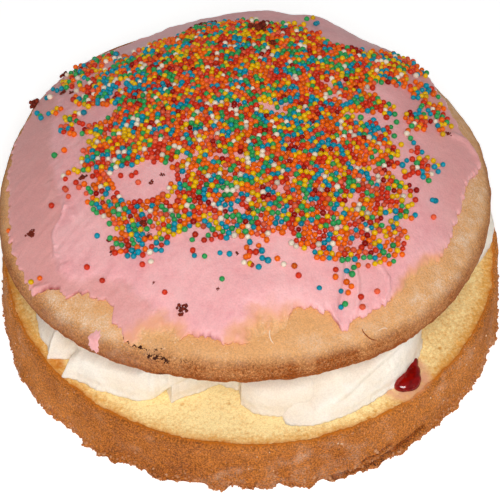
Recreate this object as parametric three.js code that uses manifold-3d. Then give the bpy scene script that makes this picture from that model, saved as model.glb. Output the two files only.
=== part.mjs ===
// Iced sponge sandwich cake: two round layers of sponge, a thin layer of raspberry jam and a thick
// layer of piped cream between them, and a ragged coat of icing over the domed top layer.
// Millimetres, +Z up. The origin is the centre of the underside. Angles are in degrees, running
// anticlockwise from +X as seen from above, so the front of the cake is at -90.

import * as THREE from "three";
import { mergeVertices } from "three/addons/utils/BufferGeometryUtils.js";
import Module from "manifold-3d";

const wasm = await Module();
wasm.setup();

// ---- Driving dimensions ----

const CLEARANCE = 0.3; // left between two pieces that touch

// Lower layer: a flat crumb face on top, a narrow sloping brim of crust, and a nearly upright side.
// Waves are [lobes, cosine part, sine part] of an outline that isn't quite round.
const LOWER_HEIGHT = 24.7;
const LOWER_FOOT_RADIUS = 101.1;
const LOWER_FOOT_BEVEL = 1.2;
const LOWER_BRIM_RADIUS = 98.8;
const LOWER_BRIM_DROP = 1.1;
const CRUMB_RADIUS = 96.5;
const LOWER_FOOT_WAVES = [[2, -0.2, 0.3], [4, -1.1, 0.1]];
const LOWER_RIM_WAVES = [[2, -0.8, 0.4], [4, 0.1, 0.1]];

// Jam: a round spread in the middle, and one run of it that ends in a bead near the front right.
const JAM_RADIUS = 61;
const JAM_THICKNESS = 1.5;
const JAM_RUN_START = 30;
const JAM_RUN_WIDTH = 12;
const JAM_BEAD = { angle: -51, distance: 87, radius: 8.2, height: 3.6 };

// Cream: a round core, and a ring of piped swirls that stand between it and the open edge.
// A swirl spans two angles, and its foot reaches out to these radii, evenly spread over the span.
const CORE_RADIUS = 62;
const SWIRL_GAP_ANGLE = 0.5;
const SWIRLS = [
  { from: -160.5, to: -136, feet: [84, 90, 95.5, 90] },
  { from: -136, to: -112, feet: [96.5, 91.5, 88.5, 85.5] },
  { from: -112, to: -100, feet: [83, 85.5, 80, 73] },
  { from: -100, to: -92.5, feet: [73, 74, 75] },
  { from: -92.5, to: -83.5, feet: [81, 84.5, 86] },
  { from: -83.5, to: -38.5, feet: [90.5, 92.5, 91, 88, 79] },
  { from: -38.5, to: -11, feet: [75, 74, 78] },
  { from: -11, to: 14, feet: [88, 90.5, 86] },
  { from: 14, to: 43, feet: [83, 90, 89, 82] },
  { from: 43, to: 70, feet: [85, 91, 86] },
  { from: 70, to: 99, feet: [82, 90, 91, 84] },
  { from: 99, to: 127, feet: [80, 88, 90, 85] },
  { from: 127, to: 156, feet: [84, 91, 88, 80] },
  { from: 156, to: 199.5, feet: [82, 89, 91, 89, 85] },
];
const SWIRL_TOP_SETBACK = 4; // how far the top of a swirl stands back from its foot
const SWIRL_BELLY = 3.2; // how far its middle swells out past the line from foot to top
const SWIRL_END_ROUNDING = 2.5; // how far its two ends draw back
const FLUTE_DEPTH = 2.6;
const FLUTES = 2.5; // ridges between foot and top
const FLUTE_TWIST = 1; // ridges by which the pattern climbs from one end of a swirl to the other

// Upper layer, in its own frame: an upright side, then a dome. It leans, lowest at the back.
const UPPER_CENTRE = new THREE.Vector3(-3.3, 1.6, 48.7);
const UPPER_LEAN = -3.9;
const UPPER_RADIUS = 95.6;
const UPPER_WAVES = [[2, -1.2, -0.4], [3, 1.4, 0.2], [4, -1.0, 0.8]];
const UPPER_SIDE = 8;
const UPPER_SIDE_BULGE = 0.6;
const UPPER_SIDE_FULLEST = [0.35, 0.75]; // the part of the side's height over which it bulges
const UPPER_HEIGHT = 39.5;
const UPPER_SAG = -1.0; // how far the underside droops at the left and right
const DOME_PEAK = new THREE.Vector2(5.5, 19);
const DOME_POWER = 0.87;
const DOME_FULLNESS = { mean: 2.35, toBack: 0.55, toRight: 0.35, toBackRight: 1.2 };

// Icing on the dome. Each pair is an angle and how far out the coat reaches there, where 1 is the
// top of the upright side. Humps are [angle, reach, spread across, spread inwards, height].
const ICING_CLEARANCE = 0.45;
const ICING_THICKNESS = 1.7;
const ICING_LIP = 0.6; // the part of the thickness that its outermost edge has
const ICING_LIMIT = 0.998; // the furthest that any of it reaches
const ICING_REACH = [
  [-152, 0.985], [-141, 0.99], [-136, 0.935], [-130, 0.91], [-121, 0.9], [-115, 0.975], [-107, 0.95],
  [-100, 0.925], [-88, 0.94], [-77, 0.84], [-71, 0.88], [-67, 0.945], [-60, 0.92], [-45, 0.912],
  [-30, 0.905], [-18, 0.886], [-8, 0.898], [1, 0.945], [9, 0.88], [18, 0.86], [40, 0.92],
  [70, 0.97], [100, 0.965], [130, 0.98], [165, 0.98], [190, 0.985],
];
const ICING_RAGGED = [[23, 0.005, 0.003], [37, 0.002, 0.004]];
const ICING_HUMPS = [
  [84, 0.78, 11, 0.08, 2.2],
  [104, 0.77, 5, 0.07, 1.2],
  [66, 0.78, 3.5, 0.06, 1.8],
  [-67, 0.84, 3, 0.1, 1.0],
  [205, 0.75, 14, 0.12, 0.8],
];
const ICING_STROKES = { height: 0.25, across: 5, along: 9 };

// How finely each piece is divided
const SPONGE_SIDES = 72;
const ICING_SIDES = 90;
const SWIRL_STATIONS = 9;
const SWIRL_FACE_STEPS = 10;
const BEAD_SIDES = 16;
const BEAD_SLOPES = [0, 25, 50, 72]; // degrees above the horizontal of the rings of the jam bead
const DOME_ROWS = [1, 0.985, 0.96, 0.92, 0.86, 0.78, 0.66, 0.5, 0.32, 0.15];
const ICING_ROWS = [0.22, 0.44, 0.62, 0.75, 0.84, 0.9, 0.945, 0.975, 1];

// Crumb, crust, jam, cream and icing
const COLOURS = {
  sponge: { color: 0xc98a4b, roughness: 0.9, metalness: 0 },
  jam: { color: 0x7a0a10, roughness: 0.15, metalness: 0 },
  cream: { color: 0xf7efdf, roughness: 0.55, metalness: 0 },
  icing: { color: 0xe9a9b0, roughness: 0.45, metalness: 0 },
};

// ---- Helpers ----

const radians = THREE.MathUtils.degToRad;

function wavy(mean, waves, angle) {
  let value = mean;
  for (const [lobes, cosine, sine] of waves) {
    value += cosine * Math.cos(lobes * angle) + sine * Math.sin(lobes * angle);
  }
  return value;
}

// A smooth curve through evenly spaced values, read at a part of its length from 0 to 1.
function smoothly(values, part) {
  const curve = new THREE.SplineCurve(values.map((value, i) => new THREE.Vector2(i, value)));
  return curve.getPoint(part).y;
}

function ringOf(sides, pointAt) {
  return Array.from({ length: sides }, (_, i) => pointAt((2 * Math.PI * i) / sides));
}

// A closed solid from rings of the same number of points, drawn to a point at each end.
function solidFromRings(start, rings, end) {
  const points = [start, ...rings.flat(), end];
  const count = rings[0].length;
  const lastRing = 1 + (rings.length - 1) * count;
  const faces = [];
  for (let i = 0; i < count; i += 1) {
    const next = (i + 1) % count;
    faces.push(0, 1 + next, 1 + i);
    for (let base = 1; base < lastRing; base += count) {
      faces.push(base + i, base + next, base + next + count);
      faces.push(base + i, base + next + count, base + i + count);
    }
    faces.push(lastRing + i, lastRing + next, points.length - 1);
  }
  const geometry = new THREE.BufferGeometry();
  geometry.setFromPoints(points);
  geometry.setIndex(faces);
  return geometry;
}

function toManifold(geometry) {
  const bare = geometry.clone();
  bare.deleteAttribute("normal");
  bare.deleteAttribute("uv");
  const merged = mergeVertices(bare);
  const vertProperties = new Float32Array(merged.attributes.position.array);
  const triVerts = new Uint32Array(merged.index.array);
  return new wasm.Manifold(new wasm.Mesh({ numProp: 3, vertProperties, triVerts }));
}

function fromManifold(solid) {
  const { vertProperties, triVerts } = solid.getMesh();
  const geometry = new THREE.BufferGeometry();
  geometry.setAttribute("position", new THREE.BufferAttribute(new Float32Array(vertProperties), 3));
  geometry.setIndex(new THREE.BufferAttribute(new Uint32Array(triVerts), 1));
  return geometry;
}

function named(name, geometry, colour) {
  geometry.computeVertexNormals();
  const mesh = new THREE.Mesh(geometry, new THREE.MeshStandardMaterial(colour));
  mesh.name = name;
  return mesh;
}

// ---- Lower layer ----

// The outline changes from that of the foot to that of the rim as the side rises.
function lowerRing(radius, height) {
  const rise = height / LOWER_HEIGHT;
  return ringOf(SPONGE_SIDES, (angle) => {
    const foot = wavy(radius, LOWER_FOOT_WAVES, angle);
    const rim = wavy(radius, LOWER_RIM_WAVES, angle);
    const reach = THREE.MathUtils.lerp(foot, rim, rise);
    return new THREE.Vector3(reach * Math.cos(angle), reach * Math.sin(angle), height);
  });
}

function spongeLower() {
  const rings = [
    lowerRing(LOWER_FOOT_RADIUS - LOWER_FOOT_BEVEL, 0),
    lowerRing(LOWER_FOOT_RADIUS, LOWER_FOOT_BEVEL),
    lowerRing((LOWER_FOOT_RADIUS + LOWER_BRIM_RADIUS) / 2, LOWER_HEIGHT / 2),
    lowerRing(LOWER_BRIM_RADIUS, LOWER_HEIGHT - LOWER_BRIM_DROP),
    lowerRing(CRUMB_RADIUS, LOWER_HEIGHT),
  ];
  return solidFromRings(new THREE.Vector3(), rings, new THREE.Vector3(0, 0, LOWER_HEIGHT));
}

// ---- Jam ----

const FILLING_BASE = LOWER_HEIGHT + CLEARANCE;

function disc(radius, bottom, topAt) {
  const ringAt = (heightAt) => ringOf(SPONGE_SIDES, (angle) => {
    const x = radius * Math.cos(angle);
    const y = radius * Math.sin(angle);
    return new THREE.Vector3(x, y, heightAt(x, y));
  });
  const rings = [ringAt(() => bottom), ringAt(topAt)];
  return solidFromRings(new THREE.Vector3(0, 0, bottom), rings, new THREE.Vector3(0, 0, topAt(0, 0)));
}

// The run of jam and its bead, made larger all round by grow so that it can also be cut away.
function jamRun(grow) {
  const direction = radians(JAM_BEAD.angle);
  const bottom = FILLING_BASE - grow;
  const top = FILLING_BASE + JAM_THICKNESS + grow;
  const length = JAM_BEAD.distance - JAM_RUN_START;
  const run = new THREE.BoxGeometry(length, JAM_RUN_WIDTH + 2 * grow, top - bottom);
  run.translate(JAM_RUN_START + length / 2, 0, (top + bottom) / 2);
  const rings = BEAD_SLOPES.map(radians).map((slope) => ringOf(BEAD_SIDES, (angle) => {
    const reach = (JAM_BEAD.radius + grow) * Math.cos(slope);
    const rise = (JAM_BEAD.height + 2 * grow) * Math.sin(slope);
    const x = JAM_BEAD.distance + reach * Math.cos(angle);
    return new THREE.Vector3(x, reach * Math.sin(angle), bottom + rise);
  }));
  const foot = new THREE.Vector3(JAM_BEAD.distance, 0, bottom);
  const crown = new THREE.Vector3(JAM_BEAD.distance, 0, bottom + JAM_BEAD.height + 2 * grow);
  const bead = solidFromRings(foot, rings, crown);
  run.rotateZ(direction);
  bead.rotateZ(direction);
  return toManifold(run).add(toManifold(bead));
}

function jamLayer() {
  const spread = disc(JAM_RADIUS, FILLING_BASE, () => FILLING_BASE + JAM_THICKNESS);
  return fromManifold(toManifold(spread).add(jamRun(0)));
}

// ---- Cream ----

function undersideHeight(x, y) {
  const lean = radians(UPPER_LEAN);
  const across = x - UPPER_CENTRE.x;
  const along = (y - UPPER_CENTRE.y) / Math.cos(lean);
  const angle = Math.atan2(along, across);
  const reach = Math.hypot(across, along) / wavy(UPPER_RADIUS, UPPER_WAVES, angle);
  return UPPER_CENTRE.z + along * Math.sin(lean) + UPPER_SAG * Math.cos(2 * angle) * reach * Math.cos(lean);
}

function creamCore() {
  const bottom = FILLING_BASE + JAM_THICKNESS + CLEARANCE;
  return disc(CORE_RADIUS, bottom, (x, y) => undersideHeight(x, y) - CLEARANCE);
}

// One station of a swirl: a closed section that faces along the ring, from its inner top corner
// over the top, down the fluted face to the foot, and back along the bottom.
function swirlSection(angle, footReach, part) {
  const at = (radius, height) => {
    return new THREE.Vector3(radius * Math.cos(angle), radius * Math.sin(angle), height);
  };
  const topAt = (radius) => undersideHeight(radius * Math.cos(angle), radius * Math.sin(angle)) - CLEARANCE;
  const inner = CORE_RADIUS + CLEARANCE;
  const foot = footReach - SWIRL_END_ROUNDING * Math.abs(2 * part - 1) ** 6;
  const top = topAt(foot - SWIRL_TOP_SETBACK);
  const section = [at(inner, topAt(inner))];
  for (let step = SWIRL_FACE_STEPS; step >= 0; step -= 1) {
    const rise = step / SWIRL_FACE_STEPS;
    const belly = SWIRL_BELLY * Math.sin(Math.PI * rise);
    const ridge = Math.abs(Math.sin(Math.PI * (FLUTES * rise - FLUTE_TWIST * part)));
    const edge = Math.sin(Math.PI * rise) ** 0.5;
    const radius = foot - SWIRL_TOP_SETBACK * rise + belly + FLUTE_DEPTH * (ridge - 1) * edge;
    section.push(at(radius, FILLING_BASE + (top - FILLING_BASE) * rise));
  }
  section.push(at(inner, FILLING_BASE));
  return section;
}

function middleOf(points) {
  const middle = new THREE.Vector3();
  points.forEach((point) => middle.add(point));
  return middle.divideScalar(points.length);
}

function creamSwirl({ from, to, feet }) {
  const start = radians(from);
  const end = radians(to - SWIRL_GAP_ANGLE);
  const sections = Array.from({ length: SWIRL_STATIONS }, (_, i) => {
    const part = i / (SWIRL_STATIONS - 1);
    return swirlSection(start + (end - start) * part, smoothly(feet, part), part);
  });
  return solidFromRings(middleOf(sections[0]), sections, middleOf(sections.at(-1)));
}

// ---- Upper layer ----

// How far out the dome stays high before it falls to the side. It is even near the peak, and
// fullest at the back right towards the side.
function domeFullness(angle, reach) {
  const { mean, toBack, toRight, toBackRight } = DOME_FULLNESS;
  const backHalf = (1 + Math.sin(angle)) / 2;
  const skew = toBackRight * Math.sin(2 * angle) * backHalf;
  return mean + (toBack * Math.sin(angle) + toRight * Math.cos(angle) + skew) * reach ** 2;
}

// The dome in the upper layer's frame: reach runs from 0 at the peak to 1 at the top of the side.
function domePoint(angle, reach) {
  const radius = wavy(UPPER_RADIUS, UPPER_WAVES, angle) * reach;
  const droop = UPPER_SAG * Math.cos(2 * angle) * reach;
  const rise = Math.max(0, 1 - reach ** domeFullness(angle, reach)) ** DOME_POWER;
  return new THREE.Vector3(
    radius * Math.cos(angle) + DOME_PEAK.x * (1 - reach),
    radius * Math.sin(angle) + DOME_PEAK.y * (1 - reach),
    UPPER_SIDE + droop + (UPPER_HEIGHT - UPPER_SIDE) * rise,
  );
}

// A point that lies off the dome, along its normal.
function liftedDomePoint(angle, reach, lift) {
  const small = 0.004;
  const inner = domePoint(angle, reach - small);
  const outer = domePoint(angle, reach);
  const before = domePoint(angle - small, reach);
  const after = domePoint(angle + small, reach);
  const normal = outer.clone().sub(inner).cross(after.sub(before)).normalize();
  return outer.addScaledVector(normal, lift);
}

function sideRing(inset, height) {
  return ringOf(SPONGE_SIDES, (angle) => {
    const radius = wavy(UPPER_RADIUS, UPPER_WAVES, angle) - inset;
    const droop = UPPER_SAG * Math.cos(2 * angle);
    return new THREE.Vector3(radius * Math.cos(angle), radius * Math.sin(angle), height + droop);
  });
}

function spongeUpper() {
  const dome = DOME_ROWS.map((reach) => ringOf(SPONGE_SIDES, (angle) => domePoint(angle, reach)));
  const side = [
    sideRing(UPPER_SIDE_BULGE, 0),
    ...UPPER_SIDE_FULLEST.map((part) => sideRing(-UPPER_SIDE_BULGE, UPPER_SIDE * part)),
  ];
  return solidFromRings(new THREE.Vector3(), [...side, ...dome], domePoint(0, 0));
}

// ---- Icing ----

function icingReach(angle) {
  const first = ICING_REACH[0][0];
  const degrees = THREE.MathUtils.euclideanModulo((angle * 180) / Math.PI - first, 360) + first;
  const outline = [...ICING_REACH, [first + 360, ICING_REACH[0][1]]];
  const upper = outline.findIndex(([limit]) => limit > degrees);
  const [fromAngle, fromReach] = outline[upper - 1];
  const [toAngle, toReach] = outline[upper];
  const part = THREE.MathUtils.smoothstep(degrees, fromAngle, toAngle);
  return Math.min(wavy(fromReach + (toReach - fromReach) * part, ICING_RAGGED, angle), ICING_LIMIT);
}

function icingRelief(angle, reach) {
  const { height, across, along } = ICING_STROKES;
  let relief = height * Math.sin(across * angle + along * reach);
  for (const [degrees, middle, spread, inwards, rise] of ICING_HUMPS) {
    const turn = THREE.MathUtils.euclideanModulo((angle * 180) / Math.PI - degrees + 180, 360) - 180;
    relief += rise * Math.exp(-((turn / spread) ** 2) - ((reach - middle) / inwards) ** 2);
  }
  return relief;
}

function icing() {
  const ringAt = (row, liftAt) => ringOf(ICING_SIDES, (angle) => {
    const reach = row * icingReach(angle);
    return liftedDomePoint(angle, reach, liftAt(angle, reach));
  });
  const under = () => ICING_CLEARANCE;
  const over = (angle, reach) => ICING_CLEARANCE + ICING_THICKNESS + icingRelief(angle, reach);
  const lip = () => ICING_CLEARANCE + ICING_THICKNESS * ICING_LIP;
  const rows = ICING_ROWS.slice(0, -1);
  const rings = [
    ...ICING_ROWS.map((row) => ringAt(row, under)),
    ringAt(1, lip),
    ...rows.reverse().map((row) => ringAt(row, over)),
  ];
  const middle = domePoint(0, 0);
  const bottom = middle.clone().setZ(middle.z + under());
  const top = middle.clone().setZ(middle.z + over(0, 0));
  return solidFromRings(bottom, rings, top);
}

// ---- The cake ----

const cake = new THREE.Group();
cake.add(named("sponge_lower", spongeLower(), COLOURS.sponge));
cake.add(named("jam_layer", jamLayer(), COLOURS.jam));
cake.add(named("cream_layer", creamCore(), COLOURS.cream));

SWIRLS.forEach((swirl, i) => {
  const cutByJam = swirl.from < JAM_BEAD.angle && swirl.to > JAM_BEAD.angle;
  let shape = creamSwirl(swirl);
  if (cutByJam) {
    shape = fromManifold(toManifold(shape).subtract(jamRun(CLEARANCE)));
  }
  cake.add(named(`cream_swirl_${String(i + 1).padStart(2, "0")}`, shape, COLOURS.cream));
});

const upper = new THREE.Group();
upper.position.copy(UPPER_CENTRE);
upper.rotation.x = radians(UPPER_LEAN);
upper.add(named("sponge_upper", spongeUpper(), COLOURS.sponge));
upper.add(named("icing", icing(), COLOURS.icing));
cake.add(upper);

export default cake;
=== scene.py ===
"""An iced sponge sandwich cake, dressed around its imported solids.

Two round layers of sponge have cream and raspberry jam between them, and the domed upper layer
wears a ragged coat of pink icing, strewn with tiny round sprinkles. Shapes are worked out in
millimetres and become metres as each mesh is made. Angles run anticlockwise from +X as seen from
above, so the front of the cake is at -90 degrees. The upper layer has its own frame, with its
origin in the middle of its underside, and "reach" runs over its dome from 0 at the peak to 1 at
the top of the upright side.
"""

import itertools
import math

import bpy
import numpy as np
from mathutils import Matrix


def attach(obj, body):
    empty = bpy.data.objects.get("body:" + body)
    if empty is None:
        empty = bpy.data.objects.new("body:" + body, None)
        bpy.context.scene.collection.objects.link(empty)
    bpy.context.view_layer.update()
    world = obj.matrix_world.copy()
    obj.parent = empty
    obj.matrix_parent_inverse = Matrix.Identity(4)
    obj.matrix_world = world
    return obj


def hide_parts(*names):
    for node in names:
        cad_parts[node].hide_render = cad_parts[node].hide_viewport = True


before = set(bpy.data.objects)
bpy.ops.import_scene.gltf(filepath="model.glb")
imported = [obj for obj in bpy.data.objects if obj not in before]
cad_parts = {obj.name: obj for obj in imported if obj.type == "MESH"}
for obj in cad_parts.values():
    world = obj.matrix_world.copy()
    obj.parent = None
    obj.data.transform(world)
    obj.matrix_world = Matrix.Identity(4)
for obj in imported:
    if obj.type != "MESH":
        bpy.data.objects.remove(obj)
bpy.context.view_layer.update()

bl_info = {
    "name": "Iced Sponge Sandwich Cake",
    "version": (1, 0, 0),
    "blender": (4, 5, 0),
    "location": "View3D > Sidebar > Cake",
    "description": "Makes an iced sponge sandwich cake with cream, jam and sprinkles",
    "category": "Add Mesh",
}

MM = 0.001
BODY = "root"
# How wide a blot of a noise texture is, in cells of its scale
BLOT_SHARE = 0.7


# ---- Driving dimensions, in millimetres ----

CLEARANCE = 0.3

# Lower layer. Waves are (lobes, cosine part, sine part) of an outline that isn't quite round.
LOWER_HEIGHT = 24.7
LOWER_FOOT_RADIUS = 101.1
LOWER_FOOT_BEVEL = 1.2
LOWER_BRIM_RADIUS = 98.8
LOWER_BRIM_DROP = 1.1
CRUMB_RADIUS = 96.5
LOWER_FOOT_WAVES = [(2, -0.2, 0.3), (4, -1.1, 0.1)]
LOWER_RIM_WAVES = [(2, -0.8, 0.4), (4, 0.1, 0.1)]

# Jam
JAM_RADIUS = 61
JAM_THICKNESS = 1.5
JAM_BEAD = {"angle": -51, "distance": 87, "height": 3.6}
FILLING_BASE = LOWER_HEIGHT + CLEARANCE

# Cream: a core, and a ring of piped swirls between it and the open edge. A swirl's foot runs
# through (degrees, radius) corners. Its face runs from 0 at the foot to 1 at the top, and folds
# cross it: each fold has evenly spread heights, and how far the cream stands out there. Swell is
# how full it is between folds. A swirl may also be greyed all over by painted shade, and
# clean_start is the share of its length over which the painted shade of its hollows sets in.
CORE_RADIUS = 62
SWIRL_OVERLAP = 0.5
SWIRL_TOP_SETBACK = 3.5
SWIRL_SWELL = 2.4
SWIRL_GROOVE = 0.06
SWIRL_FOOT_FLARE = 0.7
PLAIN_FOLDS = [
    ([0.1, 0.2, 0.3], [0.4, 0.8, 0.4]), ([0.14, 0.26, 0.36], [-1.6, -1.4, -1.6]),
    ([0.4, 0.55, 0.66], [-0.6, 0.0, -0.6]), ([0.46, 0.61, 0.72], [-2.4, -2.2, -2.4]),
    ([0.75, 0.85, 0.95], [-1.4, -1.4, -1.8]),
]
SWIRLS = [
    {
        "swell": 0.4, "clean_start": 0.75,
        "foot": [
            (-162, 86), (-154.4, 90), (-149.5, 92), (-144.8, 92.8), (-142.9, 94), (-142, 96),
            (-141.3, 94), (-140.3, 92), (-139.1, 90), (-137, 87), (-133, 84),
        ],
        "folds": [
            ([0.06] * 9 + [0.05] * 4, [0.3] * 13),
            (
                [0.5] * 7 + [0.45, 0.4, 0.14, 0.14, 0.13, 0.12],
                [-11] * 4 + [-10.5, -9.5, -7, -4.5, -2, -0.6, -0.4, -0.3, -0.3],
            ),
            ([0.55] * 7 + [0.5, 0.45] + [0.2] * 4, [-12] * 5 + [-11, -9, -7, -6, -7.5, -7, -6, -5]),
            ([0.8] * 9 + [0.6] * 4, [-13] * 5 + [-12, -10, -8.5, -7, -6, -5.5, -5, -4.5]),
            ([1.1] * 13, [-14] * 7 + [-12, -11, -9, -8, -7, -6]),
        ],
    },
    {
        "swell": 0.5,
        "foot": [
            (-136.6, 94.8), (-136, 97), (-134.8, 95.6), (-133.2, 94), (-131.4, 93), (-129.3, 92.6),
            (-127.2, 92), (-125.4, 90.8), (-123.8, 90), (-121.2, 89.2), (-117.9, 88.3), (-116.2, 87),
            (-115.1, 85.2), (-114.2, 83), (-113.3, 79.5), (-111.5, 76.5), (-106, 71),
        ],
        "folds": [
            ([0.02] * 9 + [0.05, 0.24, 0.4, 0.52], [0] * 9 + [4.3, 8.3, 10.9, 12.5]),
            (
                [0.2, 0.3, 0.34, 0.37, 0.35, 0.37, 0.38, 0.4, 0.5, 0.58, 0.62, 0.66, 0.7],
                [-5, -2.2] + [-1] * 5 + [-0.8, -0.6, 4.6, 9.4, 11.5, 13],
            ),
            (
                [0.27, 0.38, 0.42, 0.44, 0.41, 0.42, 0.43, 0.45, 0.56, 0.64, 0.68, 0.72, 0.76],
                [-8.5, -5.6, -4.4, -4.4, -4.4, -4.2, -4, -3.4, -2.6, 2, 7, 9.5, 11],
            ),
            (
                [0.36, 0.47, 0.51, 0.53, 0.49, 0.5, 0.52, 0.54, 0.66, 0.72, 0.76, 0.8, 0.84],
                [-7.6, -5.4, -5.2, -7, -8, -8, -7.5, -6, -5, -1, 4, 7, 9],
            ),
            ([1.1] * 13, [-12] + [-11] * 4 + [-10, -10, -9, -8, -5, 0, 3, 5]),
        ],
    },
    {
        "swell": 0.8,
        "foot": [
            (-118, 66), (-114.5, 74), (-112.3, 80), (-109.9, 83.8), (-108.6, 81.1), (-104.1, 76.6),
            (-101.1, 72.5), (-99, 71),
        ],
        "folds": [
            ([0.2, 0.24, 0.3, 0.38, 0.42, 0.46, 0.5], [-4, -3, -0.3, 0.9, 0.4, -0.4, -1.2]),
            ([1] * 7, [-9, -9, -9, -7, -6, -5, -4]),
        ],
    },
    {"foot": [(-101, 71), (-96, 72.4), (-92.5, 74)], "swell": 0.4, "folds": [([1, 1], [-3, -3])]},
    {
        "swell": 0.9, "painted_shade_all_over": 0.35,
        "foot": [
            (-93, 76), (-92.6, 79.8), (-91.6, 81), (-90.2, 82.4), (-89, 83.4), (-87.2, 84.3),
            (-85.3, 84.9), (-82.8, 85.2), (-78, 85.2), (-72, 84.5),
        ],
        "folds": [
            ([0.06, 0.06, 0.06, 0.08, 0.08], [0.2, 0.4, 0.6, 0.4, 0.0]),
            ([0.3, 0.35, 0.37, 0.38, 0.4], [-2.2, -1.5, -1.3, -1.4, -1.6]),
            ([0.42, 0.45, 0.47, 0.48, 0.5], [-6] * 5), ([1.1] * 5, [-13] * 5),
        ],
    },
    {
        "swell": 0.7, "clean_start": 0.25,
        "foot": [
            (-82.7, 85), (-82.3, 88.6), (-81.9, 90), (-81, 90.6), (-78.8, 91.2), (-74.1, 91.5),
            (-68, 91.3), (-65.2, 90.6), (-62, 89.9), (-57.3, 89.2), (-53.5, 89), (-49.5, 88.2),
            (-45.3, 86.2), (-41.9, 84.2), (-37.8, 81.4),
        ],
        "folds": [
            ([0.02, 0.08, 0.2, 0.4, 0.52, 0.64, 0.76], [-4.6, -0.6, -1.3, -1.4, -1.2, -0.8, -0.5]),
            ([0.06, 0.14, 0.36, 0.52, 0.66, 0.8, 0.92], [-5.5, -2.6, -0.5, -0.5, -0.2, 0, 0]),
            ([0.3, 0.155, 0.44, 0.56, 0.7, 0.86, 0.98], [-7.5, -6.6, -2.4, -3.8, -2.0, -1.6, -1.5]),
            ([0.42, 0.45, 0.56, 0.64, 0.78, 0.92, 1.02], [-12, -11.3, -4.2, -7.5, -4.5, -4, -3.5]),
            ([0.6, 0.67, 0.66, 0.76, 0.84, 0.96, 1.06], [-14, -13, -7.0, -9.0, -3.5, -3.5, -3.5]),
            ([1.15] * 7, [-18, -16, -12, -12, -10, -9, -9]),
        ],
    },
    {"foot": [(-38.5, 75), (-25, 74), (-15, 78)]},
    {"foot": [(-15, 82), (-8, 89), (-3.9, 92.2), (-1, 94.2), (3, 95.8), (8, 95.8), (12, 93), (15, 86)]},
    {"foot": [(14, 83), (24, 90), (33, 89), (43, 82)]}, {"foot": [(43, 85), (56, 91), (70, 86)]},
    {"foot": [(70, 82), (80, 90), (89, 91), (99, 84)]},
    {"foot": [(99, 80), (108, 88), (118, 90), (127, 85)]},
    {"foot": [(127, 84), (137, 91), (146, 88), (156, 80)]},
    {"foot": [(156, 82), (167, 89), (178, 91), (188, 89), (198.5, 85)]},
]

# Upper layer, in its own frame
UPPER_CENTRE = np.array([-3.3, 1.6, 48.7])
UPPER_LEAN = math.radians(-3.9)
UPPER_RADIUS = 95.6
UPPER_WAVES = [(2, -1.2, -0.4), (3, 1.4, 0.2), (4, -1.0, 0.8)]
UPPER_SIDE = 8
UPPER_SIDE_BULGE = 0.6
UPPER_HEIGHT = 39.5
UPPER_SAG = -1.0
DOME_PEAK = (5.5, 19)
DOME_POWER = 0.87
DOME_FULLNESS = {"mean": 2.35, "to_back": 0.55, "to_right": 0.35, "to_back_right": 1.2}
# Shallow dents at the back: x, y, half length, half width, turn, depth
DOME_DENTS = [(-42, 74, 40, 30, 15, 3.6), (52, 66, 28, 26, 0, 2.4)]

# Icing. Each pair is an angle in degrees and how far out the coat reaches over the dome there.
ICING_REACH = [
    (-152, 0.976), (-149.5, 0.978), (-147, 0.982), (-145, 0.986), (-141, 0.99), (-139.5, 0.985),
    (-138.3, 0.962), (-136.8, 0.945), (-135, 0.942), (-132, 0.945), (-130.5, 0.918), (-128.5, 0.905),
    (-125, 0.915), (-123.5, 0.9), (-120.8, 0.903), (-119.5, 0.945), (-117, 0.95), (-115.5, 0.975),
    (-113.5, 0.982), (-110, 0.968), (-104, 0.95), (-102, 0.92), (-100, 0.93), (-96, 0.935),
    (-92.5, 0.94), (-88.5, 0.945), (-85.5, 0.935), (-83, 0.92), (-79.5, 0.885), (-78, 0.862),
    (-75, 0.868), (-72.5, 0.862), (-71, 0.895), (-69.5, 0.885), (-68, 0.935), (-66.8, 0.948),
    (-65.5, 0.92), (-63.5, 0.935), (-61.5, 0.92), (-58, 0.925), (-52, 0.918), (-45, 0.912),
    (-38, 0.918), (-30, 0.904), (-24, 0.893), (-18, 0.886), (-12, 0.89), (-7, 0.9), (-3, 0.928),
    (0.5, 0.952), (4, 0.935), (6, 0.89), (9, 0.88), (17, 0.857), (25, 0.86), (33, 0.87), (48, 0.93),
    (70, 0.965), (100, 0.965), (131, 0.955), (151, 0.975), (165, 0.98), (181, 0.97), (184, 0.962),
    (187.5, 0.952), (190, 0.956), (193, 0.95), (196, 0.957), (200, 0.962), (203.5, 0.968),
    (206.5, 0.972),
]
# A second, thicker coat that stops short of the first on the left
SECOND_COAT_REACH = [
    (-175, 0.78), (-165, 0.78), (-155, 0.78), (-151, 0.785), (-149, 0.804), (-147.75, 0.835),
    (-146.5, 0.855), (-143.5, 0.868), (-141.5, 0.88), (-137.75, 0.89), (-134.5, 0.9), (-131, 0.885),
    (-127, 0.85), (-120, 0.835), (-115, 0.86), (-109, 0.89), (-104, 0.92), (-100, 0.95), (-95, 1.1),
    (-60, 1.1), (0, 1.1), (60, 1.1), (120, 0.93), (150, 0.86), (170, 0.82),
]
ICING_LIMIT = 0.998
ICING_BASE = 0.25
ICING_SINK = 0.3
ICING_FIRST_COAT = 1.0
ICING_SECOND_COAT = 0.9
# Degrees over which the second coat's edge turns crisp and soft again, and how wide its lip is
CRISP_FROM = (-154, -150)
CRISP_TO = (-137, -132)
CRISP_LIP = math.sqrt(0.7)
# Where the coat thins out until the sponge shows through: x, y, half length, half width, turn,
# strength, in the upper layer's frame
THIN_PATCHES = [
    (-29, -92, 20, 19, -8, 1.05), (13, -95, 27, 25, 6, 1.25), (66, -60, 27, 10, 48, 1.25),
    (58.5, -68.5, 13, 7, 47, 1.5), (83, -36, 20, 7, 66, 1.1), (90, -15, 14, 3, 80, 0.6),
]
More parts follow.
